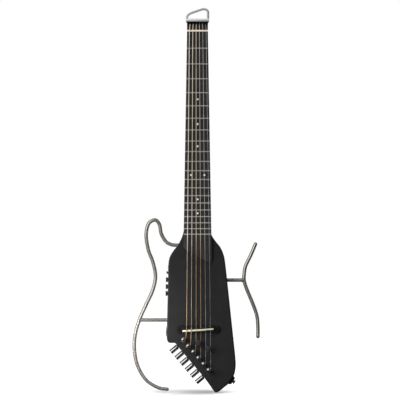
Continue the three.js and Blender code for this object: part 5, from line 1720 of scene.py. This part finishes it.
for socket in SOCKETS:
    bore = TUBE_RADIUS + SLEEVE_PLAY
    profile = [(bore, 0), (SLEEVE_RADIUS, 0), (SLEEVE_RADIUS, SLEEVE_LENGTH), (bore, SLEEVE_LENGTH)]
    sleeve = ring_turned(eased(profile, SOFT_EASE, loop=True), FINE_SIDES)
    turn = Matrix.Rotation(-side_of(socket) * math.pi / 2, 4, "Y")
    inward = Matrix.Translation(in_socket(socket, 0)) @ turn
    piece(socket + "_sleeve_ring", sleeve, brass, "brass", nodes=(socket + "_sleeve",), where=inward)
    seat = Matrix.Translation(in_socket(socket, SLEEVE_LENGTH / 2, LOCK_HEAD_SINK - BODY_THICKNESS))
    node = socket + "_lock_screw"
    piece(socket + "_screw", lock_screw_mesh(), tube_steel, "stainless", nodes=(node,), where=seat)


# Side controls, back cover, jack and strap button

control_top = CONTROL_STANDOFF + CONTROL_KNOB_HEIGHT
control_wall = CONTROL_KNOB_RADIUS - CONTROL_RIB_FOOT
knob_cap = [
    (0, -CONTROL_SHAFT_LENGTH), (CONTROL_SHAFT_RADIUS, -CONTROL_SHAFT_LENGTH),
    (CONTROL_SHAFT_RADIUS, CONTROL_STANDOFF), (control_wall, CONTROL_STANDOFF),
    (control_wall, control_top), (0, control_top),
]
rib_route = [
    (0, 0, CONTROL_STANDOFF + CONTROL_RIB_FOOT), (0, 0, control_top - CONTROL_RIB_BEND),
    (-CONTROL_RIB_FOOT, 0, control_top - CONTROL_RIB_BEND / 2),
]
rib = tube(rib_route, CONTROL_RIB_RADIUS, CONTROL_RIB_SIDES)
for i, from_nut in enumerate(CONTROLS_FROM_NUT):
    at, body = side_place(from_nut), "control_knob_%d" % (i + 1)
    cap = turned(eased(knob_cap, ROUND_EASE, 4), FINE_SIDES)
    piece("control_cap_%d" % (i + 1), cap, black_plastic, "black_plastic", body, (body,), at)
    around = [
        at @ Matrix.Rotation(2 * math.pi * n / CONTROL_RIBS, 4, "Z")
        @ Matrix.Translation((CONTROL_KNOB_RADIUS - CONTROL_RIB_RADIUS, 0, 0))
        for n in range(CONTROL_RIBS)
    ]
    copied("control_ribs_%d" % (i + 1), rib, around, black_plastic, "black_plastic", body)

power_top = POWER_CAP_LOW + POWER_CAP_HEIGHT
button_profile = [
    (0, -POWER_STEM_LENGTH), (POWER_STEM_RADIUS, -POWER_STEM_LENGTH), (POWER_STEM_RADIUS, POWER_CAP_LOW),
    (POWER_BUTTON_RADIUS, POWER_CAP_LOW), (POWER_BUTTON_RADIUS, power_top),
    (POWER_BUTTON_RADIUS * POWER_DISH_SHARE, power_top), (0, power_top - POWER_DISH_DEPTH),
]
piece(
    "power_cap", turned(eased(button_profile, ROUND_EASE, 4)), black_plastic, "black_plastic", "power_button",
    ("power_button",), side_place(BUTTON_FROM_NUT),
)

cover_outline = cavity_outline(COVER_LIP - CLOSE_FIT)
cover = slab(cover_outline, -BODY_THICKNESS, COVER_THICKNESS - BODY_THICKNESS, COVER_EDGE)
piece("cavity_cover", cover, black_plastic, "black_plastic", nodes=("electronics_cover",))
corners = cavity_outline(COVER_LIP - COVER_SCREW_INSET)
cover_left, cover_right = min(x for x, _ in corners), max(x for x, _ in corners)
cover_low, cover_high = min(y for _, y in corners), max(y for _, y in corners)
cover_screws = [
    Matrix.Translation((x, y, -BODY_THICKNESS - COVER_SCREW_PROUD)) @ FACING_BACK
    for x in (cover_left, cover_right) for y in (cover_low, cover_high)
]
copied("cover_screws", sunk_head(COVER_SCREW_RADIUS), cover_screws, black_metal, "black_metal")

half_plate = JACK_PLATE_LENGTH / 2
jack_edge = min(body_edge(up - JACK_FROM_NUT, -1) for up in (-half_plate, 0, half_plate)) - FIT
JACK_AT = Matrix.Translation((jack_edge, -JACK_FROM_NUT, -CONTROL_DEPTH)) @ OUT_OF_LEFT_SIDE
plate_outline = [(-y, x) for x, y in stadium(JACK_PLATE_LENGTH, JACK_PLATE_WIDTH)]
jack = mesh_of(slab(plate_outline, 0, JACK_PLATE_THICKNESS, JACK_EDGE))
barrel = rod((0, 0, -JACK_BARREL_LENGTH), (0, 0, PAST / 2), JACK_BARREL_RADIUS, ROUND_SIDES)
bore = rod((0, 0, JACK_BORE_FLOOR - JACK_BARREL_LENGTH), (0, 0, JACK_BORE_RUN), JACK_BORE_RADIUS, ROUND_SIDES)
jack = boolean(boolean(jack, barrel, "UNION"), bore)
piece("jack_plate", jack, tube_steel, "stainless", nodes=("output_jack",), where=JACK_AT)

button_low, button_high = body_point(BUTTON_FACE_LOW_SHARE), body_point(BUTTON_FACE_HIGH_SHARE)
button_middle, button_run = (button_low + button_high) / 2, button_high - button_low
BUTTON_AT = (
    Matrix.Translation((*button_middle, -BODY_THICKNESS / 2))
    @ Matrix.Rotation(math.atan2(button_run.y, button_run.x) - math.pi, 4, "Z") @ ALONG_Y
)
button_base = turned(eased(BUTTON_PROFILE, BUTTON_EDGE, 4), KNOB_SIDES)
button_rim = turned(eased(BUTTON_RIM_PROFILE, SOFT_EASE, 4), FINE_SIDES)
piece(
    "strap_button_base", button_base, black_plastic, "black_plastic", nodes=("strap_button",), where=BUTTON_AT
)
piece("strap_button_neck", turned(BUTTON_NECK_PROFILE), chrome, "chrome", where=BUTTON_AT)
piece("strap_button_rim", button_rim, black_plastic, "black_plastic", where=BUTTON_AT)


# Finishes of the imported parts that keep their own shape

INSIDE = {"truss_rod": tube_steel, "piezo_strip": brass, "preamp_board": circuit, "battery": black_plastic}
for name, finish in INSIDE.items():
    thing = bpy.data.objects[name]
    thing.data.materials.clear()
    thing.data.materials.append(finish)


# Camera, lights and floor

VIEW_CENTRE = DRAWING @ Vector((5.409, -361.532, 0))
VIEW_DISTANCE = 12.0
VIEW_WIDTH = 0.8592
SENSOR_WIDTH = 36
FLOOR_HALF_WIDTH = 9
FLOOR_GAP = 0.0005
FLOOR_PAINT = 0.25
FLOOR_PAINT_DRIFT = 0.04
WORLD_SEEN_BY_PLAIN = 0.22
WORLD_SEEN_BY_METAL = 0.07
# What metal mirrors of each soft light: its direction, how near that it starts and is full, and its level
SOFT_BOXES = (((-0.5, -0.83, 0.25), 0.84, 0.985, 1.3), ((0.1, 0.55, 0.83), 0.7, 0.98, 0.2))

camera_data = bpy.data.cameras.new("camera")
camera_data.sensor_width = SENSOR_WIDTH
camera_data.lens = SENSOR_WIDTH * VIEW_DISTANCE / VIEW_WIDTH
camera = in_scene("camera", camera_data)
camera.location = VIEW_CENTRE - Vector((0, VIEW_DISTANCE, 0))
camera.rotation_euler = (math.pi / 2, 0, 0)
bpy.context.scene.camera = camera
bpy.context.scene.view_settings.view_transform = "Standard"


def lamp(name, way, distance, size, power, middle=VIEW_CENTRE):
    """A square soft light that looks at a place on the guitar; polished metal mirrors the world instead."""
    data = bpy.data.lights.new(name, "AREA")
    data.shape, data.size, data.energy = "SQUARE", size, power
    thing = in_scene(name, data)
    way = Vector(way).normalized()
    thing.location = middle + way * distance
    thing.rotation_euler = way.to_track_quat("Z", "Y").to_euler()
    thing.visible_glossy = False


LOWER_LEFT = Vector((-0.09, 0, -0.69))
lamp("key_light", (-0.62, -0.577, 0.53), distance=2.2, size=0.5, power=48)
lamp("top_light", (0.1, -0.2, 1), distance=1.6, size=0.7, power=3)
lamp("left_light", (-0.72, -0.68, 0), distance=0.2, size=0.12, power=1.25, middle=LOWER_LEFT)
lamp("back_light", (0.45, 0.8, 0.4), distance=1.9, size=0.8, power=22)

world = bpy.data.worlds.new("studio")
world.use_nodes = True
bpy.context.scene.world = world
world.node_tree.nodes.clear()
sky = Nodes(world.node_tree)
way = sky.node("ShaderNodeTexCoord").outputs["Generated"]


def soft_box(toward, low, high, level):
    """The brightness that a broad soft light in one direction adds to what metal mirrors."""
    values = {0: way, 1: Vector(toward).normalized()}
    near = sky.node("ShaderNodeVectorMath", {"operation": "DOT_PRODUCT"}, values)
    return sky.ranged(near.outputs["Value"], low, high, 0, level)


def mixed(amount, first, second):
    return sky.node("ShaderNodeMix", {"data_type": "FLOAT"}, {0: amount, 2: first, 3: second}).outputs[0]


mirrored = WORLD_SEEN_BY_METAL
for box in SOFT_BOXES:
    mirrored = soft_box(*box) + mirrored
path = sky.node("ShaderNodeLightPath").outputs
directly = Value(sky, path["Is Camera Ray"])
directly = directly.math("MAXIMUM", directly, path["Is Transmission Ray"])
strength = mixed(directly, mixed(path["Is Glossy Ray"], WORLD_SEEN_BY_PLAIN, mirrored), 1)
background = sky.node("ShaderNodeBackground", None, {"Color": (1, 1, 1, 1), "Strength": strength})
sky.node("ShaderNodeOutputWorld", None, {"Surface": background.outputs[0]})

floor_finish = Finish("pale_floor", Roughness=0.9, Specular_IOR_Level=0.1)
floor_path = floor_finish.node("ShaderNodeLightPath").outputs
by_camera, by_metal = (Value(floor_finish, floor_path[ray]) for ray in ("Is Camera Ray", "Is Glossy Ray"))


def painted_shadow_pool(x, y, across, deep, dark):
    """Painted shadow: how much darker the floor is seen round a point, fading to nothing at the rim of an
    ellipse.
    """
    rim = floor_finish.node("ShaderNodeVectorMath", {"operation": "DISTANCE"}, {
        0: floor_finish.place((1 / across, 1 / deep, 0)), 1: (x / across, y / deep, 0),
    })
    return floor_finish.ranged(rim.outputs["Value"], 0, 1, dark, 0)


# painted shadow under the body: the floor's glow is lowered in two soft ellipses round the tip
left_painted_shadow = painted_shadow_pool(-0.066, 0.02, across=0.14, deep=0.46, dark=0.64)
right_painted_shadow = painted_shadow_pool(0.014, 0.045, across=0.09, deep=0.3, dark=0.6)
depth = floor_finish.part(floor_finish.place(), "Y")
# painted reflection: metal sees the floor glow faintly only further behind the guitar
behind_glow = floor_finish.ranged(depth, low=0.1, high=0.6, low_level=0.02, high_level=0.15)
# seen directly the floor glows white, less the painted shadow; seen by metal it shows only the painted
# reflection
glow = ((1 - left_painted_shadow - right_painted_shadow) * by_camera + behind_glow * by_metal).clamped()
paint = floor_finish.noise(3) * FLOOR_PAINT_DRIFT + FLOOR_PAINT
# painted reflection: the floor's colour is black to glossy rays, so metal mirrors it dark
floor_material = floor_finish.surface(
    Base_Color=floor_finish.colours(paint * (1 - by_metal), grey(0.0), grey(1.0)),
    Emission_Color=floor_finish.colours(glow, grey(0.0), grey(1.0)),
    Emission_Strength=1.0,
)
floor_z = cad_box[0][2] - FLOOR_GAP
corners = rectangle(-FLOOR_HALF_WIDTH, FLOOR_HALF_WIDTH, -FLOOR_HALF_WIDTH, FLOOR_HALF_WIDTH)
floor_mesh = bpy.data.meshes.new("floor")
floor_mesh.from_pydata([(x, y, floor_z) for x, y in corners], [], [(0, 1, 2, 3)])
floor_mesh.materials.append(floor_material)
floor = in_scene("floor", floor_mesh)
